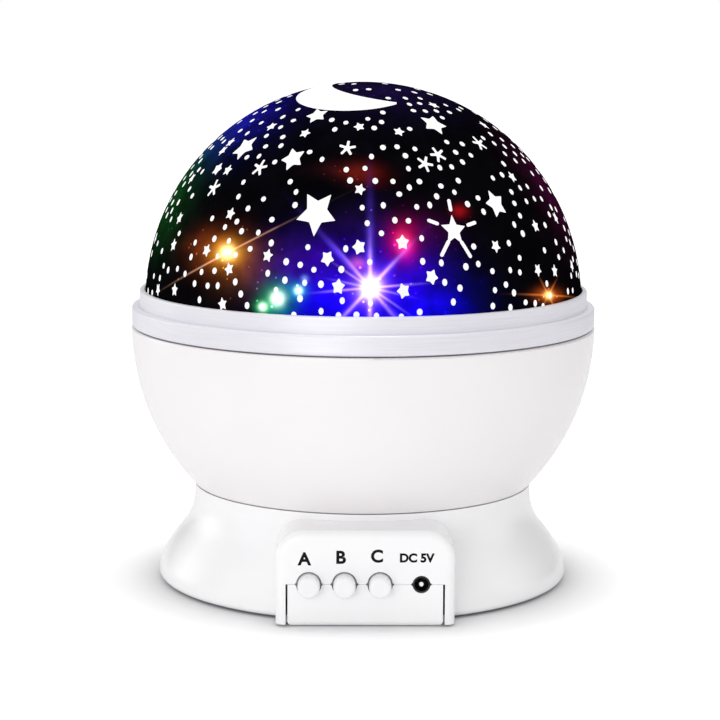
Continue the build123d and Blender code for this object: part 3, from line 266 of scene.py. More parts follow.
def cell_sleeve(name, scuff_mm=4.0):
    """Printed shrink sleeve of a battery cell: dark, with a copper band at one end, rolled steel
    at the rims. The bands follow X, the way that the cells lie."""
    made, tree, shader, place = new_material(name, {"Coat Weight": 0.5})
    along = add(tree, "ShaderNodeSeparateXYZ", {"Vector": place}).outputs["X"]
    length = {"Value": along, "From Min": -CELL_END, "From Max": CELL_END}
    share = add(tree, "ShaderNodeMapRange", length).outputs["Result"]
    bands = add(tree, "ShaderNodeValToRGB", {"Fac": share})
    stops = bands.color_ramp
    stops.interpolation = "CONSTANT"
    stops.elements[0].color = linear(CELL_RIM)
    stops.elements[1].position = 0.03
    stops.elements[1].color = linear(CELL_DARK)
    for position, colour in ((0.7, CELL_COPPER), (0.97, CELL_RIM)):
        stops.elements.new(position).color = linear(colour)
    tree.links.new(bands.outputs["Color"], shader.inputs["Base Color"])
    scuffs = add(tree, "ShaderNodeTexNoise", {"Vector": place, "Scale": 1 / (scuff_mm * MM)})
    give_roughness(tree, shader, scuffs.outputs["Fac"], 0.2, 0.4)
    return made


def screen_ink(name, light, dark, mesh_mm=0.25):
    """Screen-printed ink on the panel: flat black with a slightly grainy edge to its gloss."""
    made, tree, shader, place = new_material(name, {"IOR": 1.5, "Specular IOR Level": 0.15})
    screen = {"Vector": place, "Scale": 1 / (mesh_mm * MM)}
    mesh = add(tree, "ShaderNodeTexNoise", screen).outputs["Fac"]
    give_colour(tree, shader, mesh, light, dark)
    give_roughness(tree, shader, mesh, 0.45, 0.65)
    return made


# -------------------------------- the printed dome
film_low, film_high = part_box("star_film")
FILM_R = (film_high.x - film_low.x) / 2
FILM_CENTRE = Vector((0, 0, film_high.z - FILM_R))
NO_REACH = 1e-9  # metres, below which a point lies on its place itself


def film_normal(azimuth, elevation):
    """Outward direction on the dome. Azimuth 0 is the front, and grows towards +X."""
    a, e = radians(azimuth), radians(elevation)
    return Vector((sin(a) * cos(e), -cos(a) * cos(e), sin(e)))


def film_frame(azimuth, elevation, tilt=0.0):
    """Right, up and outward directions at a place on the dome, turned by the tilt."""
    outward = film_normal(azimuth, elevation)
    right = Vector((cos(radians(azimuth)), sin(radians(azimuth)), 0))
    up = outward.cross(right)
    turn = Matrix.Rotation(radians(tilt), 3, outward)
    return turn @ right, turn @ up, outward


def on_film(axes, u, v, radius):
    """Point at (u, v) metres from a place on the dome, measured along the sphere."""
    right, up, outward = axes
    reach = hypot(u, v)
    if reach < NO_REACH:
        return FILM_CENTRE + outward * radius
    turn = reach / FILM_R
    sideways = (right * u + up * v) / reach
    return FILM_CENTRE + radius * (cos(turn) * outward + sin(turn) * sideways)


# Light of the lamps on the film: soft clouds, hot cores and thin rays, each a glow with a half
# width and height in millimetres, a tilt in degrees, a colour and a strength.
Glow = namedtuple("Glow", "azimuth elevation across up tilt colour strength")
GLOW_DEPTH_MM = 25.0  # how deep a glow reaches, well short of the dome's other side


def rays(azimuth, elevation, colour, strength, lines):
    """Rays through one lamp's glow: one thin glow for each (tilt, half length, half width)."""
    return [
        Glow(azimuth, elevation, reach, width, tilt, colour, strength)
        for tilt, reach, width in lines
    ]


# Azimuth and elevation of each lamp's spot.
BLUE_LAMP = (0.8, 10.4)
RED_LAMP = (9.5, 21.3)
GREEN_LAMP = (-22.2, 7.2)
WARM_LAMP = (-38.4, 17.5)
AMBER_LAMP = (53.4, 5.8)
BACK_BLUE = (172, 11)
BACK_RED = (140, 20)
BACK_WARM = (-144, 16)
BACK_GREEN = (-117, 12)
GLOWS = [
    # front: clouds of blue and violet
    Glow(2, 5, 15, 8, 0, "#0000ff", 0.85),
    Glow(-1, 10, 13, 10, 0, "#2800e8", 0.45),
    Glow(10, 14, 9, 8, 0, "#3a00d0", 0.35),
    Glow(16, 5, 8, 7, 0, "#0000e0", 0.5),
    Glow(-11, 17, 9, 6, -20, "#3400a0", 0.5),
    Glow(-20, 15, 8, 6, 0, "#3c1090", 0.4),
    Glow(-13, 7, 8, 6, 0, "#0400d8", 0.6),
    Glow(1, 23, 4, 8, 0, "#1c0470", 0.25),
    Glow(-4, 26, 8, 4, 0, "#30103c", 0.15),
    # front: the blue lamp
    Glow(*BLUE_LAMP, 3.9, 3.9, 0, "#c868ff", 0.7),
    Glow(*BLUE_LAMP, 2.1, 2.1, 0, "#fffff0", 2.8),
    *rays(*BLUE_LAMP, "#6a48ff", 1.0, [(90, 15, 0.9), (47, 10, 0.8), (132, 14, 0.7)]),
    *rays(*BLUE_LAMP, "#ffc0ec", 1.0, [(90, 8, 0.45), (47, 8, 0.4), (130, 7, 0.4), (5, 8, 0.28)]),
    *rays(*BLUE_LAMP, "#ffc0ec", 0.9, [(168, 5.5, 0.28), (146, 6.5, 0.28)]),
    Glow(-2.4, 16.2, 1.8, 1.3, 0, "#ff70d0", 0.6),
    # front: the red lamp
    Glow(*RED_LAMP, 3.0, 3.9, 0, "#ff0030", 0.85),
    Glow(*RED_LAMP, 1.6, 2.2, 0, "#ff6090", 0.5),
    Glow(12, 24, 8, 5, 0, "#50002c", 0.5),
    Glow(27, 29, 1.8, 1.4, 0, "#c01018", 0.6),
    # front: the green lamp and its two smaller spots
    Glow(*GREEN_LAMP, 3.3, 3.3, 0, "#00c84c", 0.85),
    Glow(*GREEN_LAMP, 1.5, 1.5, 0, "#f0fff4", 2.4),
    Glow(-26.1, 5.0, 1.9, 1.7, 0, "#00c84c", 0.75),
    Glow(-26.1, 5.0, 0.9, 0.9, 0, "#e8fff0", 2.0),
    Glow(-16.9, 9.4, 1.8, 1.7, 0, "#00b070", 0.75),
    Glow(-16.9, 9.4, 0.85, 0.85, 0, "#d8fff4", 2.0),
    Glow(-15.5, 12.3, 0.8, 0.8, 0, "#80a0ff", 0.9),
    # front: the warm lamp
    Glow(-38, 17, 7.5, 5.0, -10, "#a85018", 0.8),
    Glow(-45, 19, 5, 3.0, 0, "#8a3418", 0.5),
    Glow(-33, 11, 7, 5, -20, "#503008", 0.45),
    Glow(*WARM_LAMP, 3.4, 2.7, 0, "#ffb820", 1.1),
    Glow(*WARM_LAMP, 1.7, 1.5, 0, "#fff8b0", 2.4),
    *rays(*WARM_LAMP, "#ffb898", 0.8, [(26, 10, 0.22)]),
    *rays(*WARM_LAMP, "#ffb898", 0.22, [(26, 18, 0.2)]),
    # right: the amber lamp
    Glow(*AMBER_LAMP, 3.2, 1.7, 0, "#c05010", 0.9),
    Glow(*AMBER_LAMP, 1.1, 0.9, 0, "#ffd880", 2.0),
    *rays(*AMBER_LAMP, "#ff9040", 0.6, [(0, 6, 0.25), (60, 3, 0.25), (120, 3, 0.25)]),
    # upper front: ember red
    Glow(-1, 40, 5, 2.6, -8, "#701808", 0.6),
    Glow(-8, 41, 7, 2.0, 0, "#401010", 0.4),
    # the dome's sides and top
    Glow(-76, 56, 13, 11, 0, "#1b12a8", 0.75),
    Glow(-84, 33, 13, 15, 0, "#0a4a12", 0.75),
    Glow(-70, 24, 9, 9, 0, "#08300e", 0.5),
    Glow(76, 33, 10, 14, 0, "#4a0634", 0.45),
    Glow(20, 76, 16, 8, 0, "#20104a", 0.45),
    # the back, where the lamps' other halves fall
    Glow(178, 7, 15, 8, 0, "#0000ff", 0.8),
    Glow(168, 14, 12, 9, 0, "#3000c8", 0.45),
    Glow(*BACK_BLUE, 3.6, 3.6, 0, "#80a0ff", 0.6),
    Glow(*BACK_BLUE, 2.0, 2.0, 0, "#f8fcff", 2.6),
    *rays(*BACK_BLUE, "#80a8ff", 0.9, [(88, 12, 0.6), (36, 9, 0.5), (142, 10, 0.5), (3, 8, 0.3)]),
    Glow(*BACK_RED, 4, 4.5, 0, "#ff0040", 0.8),
    Glow(*BACK_RED, 1.6, 2.0, 0, "#ff80a8", 0.8),
    Glow(*BACK_WARM, 8, 5, 0, "#a85018", 0.8),
    Glow(*BACK_WARM, 3.2, 2.6, 0, "#ffb820", 1.1),
    Glow(*BACK_WARM, 1.6, 1.4, 0, "#fff8b0", 2.4),
    *rays(*BACK_WARM, "#ffb898", 0.7, [(-24, 11, 0.24)]),
    Glow(*BACK_GREEN, 3.4, 3.4, 0, "#00c84c", 0.85),
    Glow(*BACK_GREEN, 1.4, 1.4, 0, "#f0fff4", 2.2),
    Glow(160, 40, 12, 7, 20, "#2a0b6c", 0.45),
]


FRONT_END, BACK_START = 60, 125  # azimuths up to which, and from which, glows lie flat
FLAT_ELEVATION = 9  # how far up the flat ones face


def glow_axes(glow):
    """Directions of a glow. One on the front or the back lies flat to whoever looks from there, so
    that its rays stay straight. One at the side faces out from its own place."""
    if abs(glow.azimuth) < FRONT_END:
        return film_frame(0, FLAT_ELEVATION, glow.tilt)
    if abs(glow.azimuth) > BACK_START:
        return film_frame(180, FLAT_ELEVATION, glow.tilt)
    return film_frame(glow.azimuth, glow.elevation, glow.tilt)


INK_CLOUD_MM, PINHOLE_SPACING_MM = 6.0, 2.6


def lamp_glow_group():
    """Node group that gives the colour of the lamps' light on the film: a little uneven where the
    ink is thicker or thinner, and brighter in its pinholes."""
    tree = bpy.data.node_groups.new("lamp_glow", "ShaderNodeTree")
    tree.interface.new_socket("Colour", in_out="OUTPUT", socket_type="NodeSocketColor")
    place = add(tree, "ShaderNodeTexCoord").outputs["Object"]
    total = (0, 0, 0)
    for glow in GLOWS:
        seat = {
            "Vector": place,
            "Location": FILM_CENTRE + film_normal(glow.azimuth, glow.elevation) * FILM_R,
            "Rotation": Matrix(glow_axes(glow)).transposed().to_euler(),
            "Scale": Vector((glow.across, glow.up, GLOW_DEPTH_MM)) * MM,
        }
        local = add(tree, "ShaderNodeMapping", seat, vector_type="TEXTURE").outputs["Vector"]
        square = add(tree, "ShaderNodeVectorMath", {0: local, 1: local}, operation="DOT_PRODUCT")
        power = {0: exp(-1), 1: square.outputs["Value"]}
        fall = add(tree, "ShaderNodeMath", power, operation="POWER").outputs["Value"]
        colour = Vector(linear(glow.colour)[:3]) * glow.strength
        terms = {0: fall, 1: colour, 2: total}
        total = add(tree, "ShaderNodeVectorMath", terms, operation="MULTIPLY_ADD").outputs[0]
    clouds = {"Vector": place, "Scale": 1 / (INK_CLOUD_MM * MM), "Detail": 5.0}
    cloud = add(tree, "ShaderNodeTexNoise", clouds).outputs["Fac"]
    thickness = {"Value": cloud, "From Min": 0.3, "From Max": 0.7, "To Min": 0.55, "To Max": 1.35}
    ink = add(tree, "ShaderNodeMapRange", thickness).outputs["Result"]
    cells = {"Vector": place, "Scale": 1 / (PINHOLE_SPACING_MM * MM)}
    specks = add(tree, "ShaderNodeTexVoronoi", cells).outputs["Distance"]
    holes = {"Value": specks, "From Min": 0.05, "From Max": 0.15, "To Min": 5.0, "To Max": 0.0}
    pinhole = add(tree, "ShaderNodeMapRange", holes).outputs["Result"]
    level = add(tree, "ShaderNodeMath", {0: ink, 1: pinhole}, operation="ADD").outputs["Value"]
    uneven = add(tree, "ShaderNodeVectorMath", {0: total, "Scale": level}, operation="SCALE")
    add(tree, "NodeGroupOutput", {"Colour": uneven.outputs["Vector"]})
    return tree


lamp_glow = lamp_glow_group()


def printed_film(name, mottle_mm=7.0):
    """Black ink on the dome's skin: dull and nearly black, a little mottled where it is thin, and
    lit from behind by the lamps."""
    made, tree, shader, place = new_material(
        name, {"IOR": 1.45, "Specular IOR Level": 0.0, "Emission Strength": 1.0}
    )
    patches = {"Vector": place, "Scale": 1 / (mottle_mm * MM), "Detail": 4.0}
    mottle = add(tree, "ShaderNodeTexNoise", patches).outputs["Fac"]
    give_colour(tree, shader, mottle, "#000000", "#0c0b10")
    give_roughness(tree, shader, mottle, 0.5, 0.65)
    light = add(tree, "ShaderNodeGroup", node_tree=lamp_glow).outputs["Colour"]
    tree.links.new(light, shader.inputs["Emission Color"])
    return made


WINDOW_TINT = 0.12  # how far a window takes the colour of the lamp's light on it


def lit_window(name):
    """Clear, unprinted film with a lamp behind it: white, tinted near a coloured lamp."""
    made, tree, shader, _ = new_material(
        name, {"Base Color": linear("#303030"), "Roughness": 0.5, "Emission Strength": 1.0}
    )
    light = add(tree, "ShaderNodeGroup", node_tree=lamp_glow).outputs["Colour"]
    limits = {0: light, 1: WHITE}
    capped = add(tree, "ShaderNodeVectorMath", limits, operation="MINIMUM").outputs[0]
    parts = add(tree, "ShaderNodeSeparateXYZ", {"Vector": capped}).outputs
    most = parts["X"]
    for part in (parts["Y"], parts["Z"]):
        most = add(tree, "ShaderNodeMath", {0: most, 1: part}, operation="MAXIMUM").outputs[0]
    missing = add(tree, "ShaderNodeVectorMath", {0: most, 1: capped}, operation="SUBTRACT")
    tinted = {0: missing.outputs["Vector"], 1: (-WINDOW_TINT,) * 3, 2: WHITE}
    colour = add(tree, "ShaderNodeVectorMath", tinted, operation="MULTIPLY_ADD")
    tree.links.new(colour.outputs["Vector"], shader.inputs["Emission Color"])
    return made


WINDOW_RISE = 0.03 * MM  # how far a window stands out of the film
WINDOW_SINK = 0.12 * MM  # how deep it is let into the film
WINDOW_FACES = (FILM_R + WINDOW_RISE, FILM_R - WINDOW_SINK)  # radii of its outer and inner face
PRINT_STRETCH = 1.2  # the print is drawn out along the meridians as the dome is formed
POINTS = 5  # of every star
SECOND_CUT = 0.25  # how far the last cut takes a star's corners back

# How a kind of star is drawn: its inner radius as a share of the outer, how far its corners are
# cut back first, whether they are cut once or twice, and the rings of faces from its edge in.
Style = namedtuple("Style", "waist first_cut cuts rings")
BIG_STYLE = Style(0.5, 0.04, 2, 3)
RAYED_STYLE = Style(0.45, 0.05, 2, 2)
MEDIUM_STYLE = Style(0.52, 0.1, 2, 2)
SMALL_STYLE = Style(0.5, 0.16, 1, 1)
ROUND_STYLE = Style(0.58, 0.16, 2, 1)
STARFISH_CUT = 0.12


def cut_corners(corners, share):
    """Closed outline with each corner cut off at a share of its two sides."""
    cut = []
    for here, after in zip(corners, corners[1:] + corners[:1]):
        cut += [here.lerp(after, share), here.lerp(after, 1 - share)]
    return cut


def star_outline(radius_mm, turn, style):
    """Star with softened corners, in metres."""
    corners = []
    for n in range(2 * POINTS):
        angle = radians(turn) + n * pi / POINTS
        reach = radius_mm * MM * (style.waist if n % 2 else 1.0)
        corners.append(Vector((reach * cos(angle), reach * sin(angle) * PRINT_STRETCH)))
    for share in (style.first_cut, SECOND_CUT)[: style.cuts]:
        corners = cut_corners(corners, share)
    return corners


def starfish_outline(radius_mm, width_mm, turn):
    """Star whose thin arms keep one width up to their round ends, in metres."""
    half = width_mm / 2
    corners = []
    for n in range(POINTS):
        angle = radians(turn) + n * tau / POINTS
        for side in (-half, half):
            x = radius_mm * cos(angle) - side * sin(angle)
            y = radius_mm * sin(angle) + side * cos(angle)
            corners.append((x, y))
        valley, between = half / sin(pi / POINTS), angle + pi / POINTS
        corners.append((valley * cos(between), valley * sin(between)))
    stretched = [Vector((x, y * PRINT_STRETCH)) * MM for x, y in corners]
    return cut_corners(cut_corners(stretched, STARFISH_CUT), SECOND_CUT)


ROUND_END = [radians(swing) for swing in (-90, -45, 0, 45, 90)]


def bar_outline(start_mm, end_mm, width_mm, turn):
    """Bar with round ends between two distances from a star's middle, and the bar's own middle."""
    half = width_mm / 2 * MM
    reach = Vector((cos(radians(turn)), sin(radians(turn)) * PRINT_STRETCH))
    axis = reach.normalized()
    side = Vector((-axis.y, axis.x))
    middle = reach * (start_mm + end_mm) / 2 * MM
    straight = reach.length * (end_mm - start_mm) / 2 * MM - half
    outline = []
    for end in (1, -1):
        for swing in ROUND_END:
            along = axis * end * (straight + half * cos(swing))
            outline.append(along + side * end * half * sin(swing))
    return outline, middle


def add_solid(shape, rows_top, rows_low):
    """Joins two matching grids of points, closed round their edge, into a thin solid. Gives back
    the last row of vertices of each."""
    top = [[shape.verts.new(p) for p in row] for row in rows_top]
    low = [[shape.verts.new(p) for p in row] for row in rows_low]
    count = len(top[0])
    for layer in (top, low):
        for row, after in zip(layer, layer[1:]):
            for n in range(count):
                corners = [row[n], row[(n + 1) % count], after[(n + 1) % count], after[n]]
                shape.faces.new(corners if layer is top else corners[::-1])
    for n in range(count):
        m = (n + 1) % count
        shape.faces.new([low[0][n], low[0][m], top[0][m], top[0][n]])
    return top[-1], low[-1]


def add_window(shape, axes, outline, middle=Vector((0, 0)), rings=1):
    """Thin solid over one window. Its outline shrinks in rings to its middle, along the dome."""
    layers = []
    for radius in WINDOW_FACES:
        rows = []
        for n in range(rings):
            share = 1 - n / rings
            spots = [middle + corner * share for corner in outline]
            rows.append([on_film(axes, spot.x, spot.y, radius) for spot in spots])
        layers.append(rows)
    top_ring, low_ring = add_solid(shape, *layers)
    for radius, ring in zip(WINDOW_FACES, (top_ring, low_ring)):
        centre = shape.verts.new(on_film(axes, middle.x, middle.y, radius))
        for here, after in zip(ring, ring[1:] + ring[:1]):
            shape.faces.new([here, after, centre] if ring is top_ring else [after, here, centre])


MOON_STEPS, MOON_LANES = 40, 6  # faces along the crescent and across it


def add_moon(shape, azimuth, elevation, outer_mm, inner_mm, offset_mm, mouth):
    """Crescent window: the outer circle less an inner one that is moved towards the mouth."""
    axes = film_frame(azimuth, elevation, mouth)
    outer_half = acos((outer_mm**2 + offset_mm**2 - inner_mm**2) / (2 * outer_mm * offset_mm))
    inner_half = acos((outer_mm**2 - offset_mm**2 - inner_mm**2) / (2 * inner_mm * offset_mm))
    layers = []
    for radius in WINDOW_FACES:
        grid = []
        for n in range(1, MOON_STEPS):
            share = n / MOON_STEPS
            a = outer_half + share * (tau - 2 * outer_half)
            b = inner_half + share * (tau - 2 * inner_half)
            outer = Vector((cos(a), sin(a))) * outer_mm
            inner = Vector((cos(b), sin(b))) * inner_mm + Vector((offset_mm, 0))
            lane = [outer.lerp(inner, m / MOON_LANES) * MM for m in range(MOON_LANES + 1)]
            grid.append([shape.verts.new(on_film(axes, spot.x, spot.y, radius)) for spot in lane])
        layers.append(grid)
    top, low = layers
    for back, grid in enumerate(layers):
        for row, after in zip(grid, grid[1:]):
            for m in range(MOON_LANES):
                corners = [row[m], after[m], after[m + 1], row[m + 1]]
                shape.faces.new(corners[::-1] if back else corners)
    for row_top, row_low, after_top, after_low in zip(top, low, top[1:], low[1:]):
        shape.faces.new([row_top[0], row_low[0], after_low[0], after_top[0]])
        shape.faces.new([row_top[-1], after_top[-1], after_low[-1], row_low[-1]])
    for row_top, row_low in ((top[0], low[0]), (top[-1], low[-1])):
        for m in range(MOON_LANES):
            shape.faces.new([row_top[m], row_top[m + 1], row_low[m + 1], row_low[m]])


# Motifs of the print on the front half: azimuth and elevation of each. The back half repeats them,
# but for the moon. The larger ones also have a turn in degrees and a radius in millimetres.
BIG_STAR = (-14, 28.9, 54, 5.3)
RAYED_STAR = (23.9, 24.1, 14, 3.5)
MEDIUM_STARS = [
    (40.4, 30.4, 30, 3.4), (-50.7, 46.8, 68, 3.7), (-26, 44.1, 44, 3.3), (32.8, 56.7, 58, 3.6),
    (-25.7, 60.6, 44, 3.0),
]
STARFISH = [
    (-7, 48, 14), (20, 42.8, 62), (26.2, 45.6, 34), (49, 48.7, 22), (-37.3, 40.8, 14),
    (-52.8, 33.8, 28),
]
SMALL_STARS = [
    (47, 65.5), (-46, 55), (-26, 53), (-3, 56), (14, 54), (-63, 48), (-63, 45), (-51, 39.3),
    (-71, 35.4), (-41, 27.4), (-64, 24.5), (-2, 35.4), (54, 37.4), (69, 24.5), (54, 23.5),
    (36, 19.5), (-26, 17.5), (-37, 13.5), (-46, 17.5), (-62, 17.5), (-81, 17.5), (-57, 6.5),
    (50, 12.5), (58, 11.5), (71, 11.5), (68, 55), (-38, 4.8), (-67, 5.5),
]
ROUND_STARS = [
    (-57, 39.3), (-2, 20.3), (-10, 17.4), (-7, 10.6), (9, 9.6), (16.3, 12.8), (9.3, 21.4),
]
SMALL_STAR_MM, SMALL_FIRST_TURN, SMALL_TURN_STEP = 1.55, 18, 31  # radius, and turns in degrees
ROUND_STAR_MM, ROUND_FIRST_TURN, ROUND_TURN_STEP = 1.8, 10, 25
STARFISH_MM, STARFISH_ARM_MM = 2.15, 0.66  # radius, and width of an arm
RAY_GAPS_MM = (0.5, 0.7, 0.5, -0.8, -0.8)  # from each tip of the rayed star to its ray
RAY_END_MM, RAY_WIDTH_MM = 7.1, 0.95

# The moon: azimuth and elevation, radii of its outer and inner circle, the distance between their
# middles in millimetres, and the way that its mouth faces, in degrees.
MOON = (-14.1, 78.1, 15.4, 16.5, 12.7, 46)


def on_half(motif, half_turn):
    """A motif's numbers, its azimuth moved to the front or the back."""
    return (motif[0] + half_turn, *motif[1:])


def add_star(shape, azimuth, elevation, turn, radius_mm, style):
    """Window of one star."""
    axes = film_frame(azimuth, elevation)
    add_window(shape, axes, star_outline(radius_mm, turn, style), rings=style.rings)


def add_rays(shape, azimuth, elevation, turn, radius_mm):
    """Windows of the rays that stand off the tips of the rayed star."""
    axes = film_frame(azimuth, elevation)
    for n, gap in enumerate(RAY_GAPS_MM):
        ray = bar_outline(radius_mm + gap, RAY_END_MM, RAY_WIDTH_MM, turn + n * 360 / POINTS)
        add_window(shape, axes, *ray)


def make_star_windows(material):
    """All star and moon windows as one piece."""
    shape = bmesh.new()
    for half_turn in (0, 180):
        add_star(shape, *on_half(BIG_STAR, half_turn), BIG_STYLE)
        add_star(shape, *on_half(RAYED_STAR, half_turn), RAYED_STYLE)
        add_rays(shape, *on_half(RAYED_STAR, half_turn))
        for star in MEDIUM_STARS:
            add_star(shape, *on_half(star, half_turn), MEDIUM_STYLE)
        for azimuth, elevation, turn in STARFISH:
            axes = film_frame(azimuth + half_turn, elevation)
            add_window(shape, axes, starfish_outline(STARFISH_MM, STARFISH_ARM_MM, turn))
        for n, star in enumerate(SMALL_STARS):
            turn = SMALL_FIRST_TURN + SMALL_TURN_STEP * n
            add_star(shape, *on_half(star, half_turn), turn, SMALL_STAR_MM, SMALL_STYLE)
        for n, star in enumerate(ROUND_STARS):
            turn = ROUND_FIRST_TURN + ROUND_TURN_STEP * n
            add_star(shape, *on_half(star, half_turn), turn, ROUND_STAR_MM, ROUND_STYLE)
    add_moon(shape, *MOON)
    return from_bmesh("star_windows", shape, material)


DOTS_PER_M2 = 3e5  # before the spacing thins them


def dot_scatter_tree():
    """Geometry nodes: oval dots spread over the dome, clear of the motifs and of each other."""
    tree = bpy.data.node_groups.new("scattered_dots", "GeometryNodeTree")
    sockets = {
        "Dome": "Geometry", "Motifs": "Object", "Centre": "Vector", "Radius": "Float",
        "Dot size": "Vector", "Spacing": "Float", "Clearance": "Float", "Stream size": "Float",
        "Seed": "Int", "Material": "Material",
    }
    for name, kind in sockets.items():
        tree.interface.new_socket(name, in_out="INPUT", socket_type="NodeSocket" + kind)
    tree.interface.new_socket("Dots", in_out="OUTPUT", socket_type="NodeSocketGeometry")
    given = add(tree, "NodeGroupInput").outputs
    frequency = add(tree, "ShaderNodeMath", {0: 1.0, 1: given["Stream size"]}, operation="DIVIDE")
    stream = add(tree, "ShaderNodeTexNoise", {"Scale": frequency.outputs[0], "Detail": 1.0})
    density = {
        "Value": stream.outputs["Fac"], "From Min": 0.35, "From Max": 0.6, "To Min": 0.25,
        "To Max": 1.0,
    }
    share = add(tree, "ShaderNodeMapRange", density).outputs["Result"]
    spread = {
        "Mesh": given["Dome"], "Distance Min": given["Spacing"], "Density Max": DOTS_PER_M2,
        "Density Factor": share, "Seed": given["Seed"],
    }
    points = add(
        tree, "GeometryNodeDistributePointsOnFaces", spread, distribute_method="POISSON"
    ).outputs["Points"]
    motifs = add(tree, "GeometryNodeObjectInfo", {"Object": given["Motifs"]}).outputs["Geometry"]
    near = add(tree, "GeometryNodeProximity", {"Geometry": motifs}, target_element="FACES")
    limit = {"A": near.outputs["Distance"], "B": given["Clearance"]}
    too_near = add(
        tree, "FunctionNodeCompare", limit, data_type="FLOAT", operation="LESS_THAN"
    ).outputs["Result"]
    removed = {"Geometry": points, "Selection": too_near}
    kept = add(tree, "GeometryNodeDeleteGeometry", removed, domain="POINT").outputs["Geometry"]
    place = add(tree, "GeometryNodeInputPosition").outputs["Position"]
    arm = add(tree, "ShaderNodeVectorMath", {0: place, 1: given["Centre"]}, operation="SUBTRACT")
    outward = add(
        tree, "ShaderNodeVectorMath", {0: arm.outputs["Vector"]}, operation="NORMALIZE"
    ).outputs["Vector"]
    terms = {0: outward, 1: given["Radius"], 2: given["Centre"]}
    seat = add(tree, "ShaderNodeVectorMath", terms, operation="MULTIPLY_ADD").outputs["Vector"]
    seated = add(tree, "GeometryNodeSetPosition", {"Geometry": kept, "Position": seat})
    upright = add(tree, "FunctionNodeAlignRotationToVector", {"Vector": outward}, axis="Z")
    north = {"Rotation": upright.outputs["Rotation"], "Vector": (0, 0, 1)}
    turned = add(tree, "FunctionNodeAlignRotationToVector", north, axis="Y", pivot_axis="Z")
    plain = {"Vertices": 12, "Radius": 0.5, "Depth": 1.0}
    disc = add(tree, "GeometryNodeMeshCylinder", plain, fill_type="NGON").outputs["Mesh"]
    oval = add(tree, "GeometryNodeTransform", {"Geometry": disc, "Scale": given["Dot size"]})
    sizes = {"Min": (0.84, 0.84, 1.0), "Max": (1.08, 1.08, 1.0), "Seed": given["Seed"]}
    size = add(tree, "FunctionNodeRandomValue", sizes, data_type="FLOAT_VECTOR")
    copies = {
        "Points": seated.outputs["Geometry"], "Instance": oval.outputs["Geometry"],
        "Rotation": turned.outputs["Rotation"], "Scale": size.outputs["Value"],
    }
    dots = add(tree, "GeometryNodeInstanceOnPoints", copies).outputs["Instances"]
    real = add(tree, "GeometryNodeRealizeInstances", {"Geometry": dots}).outputs["Geometry"]
    clear = add(
        tree, "GeometryNodeSetMaterial", {"Geometry": real, "Material": given["Material"]}
    ).outputs["Geometry"]
    add(tree, "NodeGroupOutput", {"Dots": clear})
    return tree


def set_inputs(modifier, values):
    """Fills a geometry nodes modifier's inputs, found by name and set by identifier."""
    for item in modifier.node_group.interface.items_tree:
        if item.in_out == "INPUT" and item.name in values:
            modifier[item.identifier] = values[item.name]


DOT_BAND = (3, 88)  # elevations between which the dots lie
NET_ROWS, NET_COLUMNS = 24, 72  # faces of the net that they are spread on


def dome_patch(lowest, highest):
    """Bare net of the dome between two elevations, for the dots to be spread on."""
    shape = bmesh.new()
    grid = []
    for m in range(NET_ROWS + 1):
        elevation = lowest + (highest - lowest) * m / NET_ROWS
        normals = [film_normal(360 * n / NET_COLUMNS, elevation) for n in range(NET_COLUMNS)]
        grid.append([shape.verts.new(FILM_CENTRE + normal * FILM_R) for normal in normals])
    for row, after in zip(grid, grid[1:]):
        for n in range(NET_COLUMNS):
            m = (n + 1) % NET_COLUMNS
            shape.faces.new([row[n], row[m], after[m], after[n]])
    return shape


def make_dot_windows(material, motifs):
    """The small oval windows, spread over the whole dome."""
    net = from_bmesh("dot_net", dome_patch(*DOT_BAND), material)
    modifier = net.modifiers.new("scatter", "NODES")
    modifier.node_group = dot_scatter_tree()
    depth = WINDOW_RISE + WINDOW_SINK
    values = {
        "Motifs": motifs,
        "Centre": FILM_CENTRE,
        "Radius": FILM_R + WINDOW_RISE - depth / 2,
        "Dot size": (1.42 * MM, 1.74 * MM, depth),
        "Spacing": 3.3 * MM,
        "Clearance": 1.5 * MM,
        "Stream size": 17 * MM,
        "Seed": 5,
        "Material": material,
    }
    set_inputs(modifier, values)
    dots = mesh_object("dot_windows", plain_copy(net))
    bpy.data.objects.remove(net)
    return dots


# -------------------------------- print on the control panel
PANEL_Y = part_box("base_housing")[0].y  # the panel's face, the foremost of the housing
INK_T = 0.03 * MM

# Each word, its middle along X and Z, its cap height, and the weight added to the font's own as a
# share of its size.
LETTERS = [
    ("A", -15.3, 17.6, 3.4, 0.035), ("B", -6.1, 18.0, 3.4, 0.035), ("C", 2.9, 18.3, 3.4, 0.035),
    ("DC 5V", 13.0, 17.85, 2.4, 0.045),
]


def print_letters(text, x_mm, z_mm, height_mm, weight, material):
    """Letters of flat ink on the panel."""
    curve = bpy.data.curves.new("letters", "FONT")
    curve.body = text
    curve.offset = weight
    curve.extrude = 0.5  # to each side, so that the ink's thickness scales a depth of 1
    curve.resolution_u = 6
    written = mesh_object("letters", curve)
    mesh = plain_copy(written)
    bpy.data.objects.remove(written)
    xs = [v.co.x for v in mesh.vertices]
    ys = [v.co.y for v in mesh.vertices]
    scale = height_mm * MM / (max(ys) - min(ys))
    middle = Vector(((max(xs) + min(xs)) / 2, (max(ys) + min(ys)) / 2, 0))
    grow = Matrix.Diagonal((scale, scale, INK_T, 1))
    stand = Matrix.Rotation(pi / 2, 4, "X")
    place = Matrix.Translation((x_mm * MM, PANEL_Y, z_mm * MM))
    mesh.transform(place @ stand @ grow @ Matrix.Translation(-middle))
    mesh.materials.clear()
    mesh.materials.append(material)
    return mesh_object("letter_" + text.lower().replace(" ", "_"), mesh)


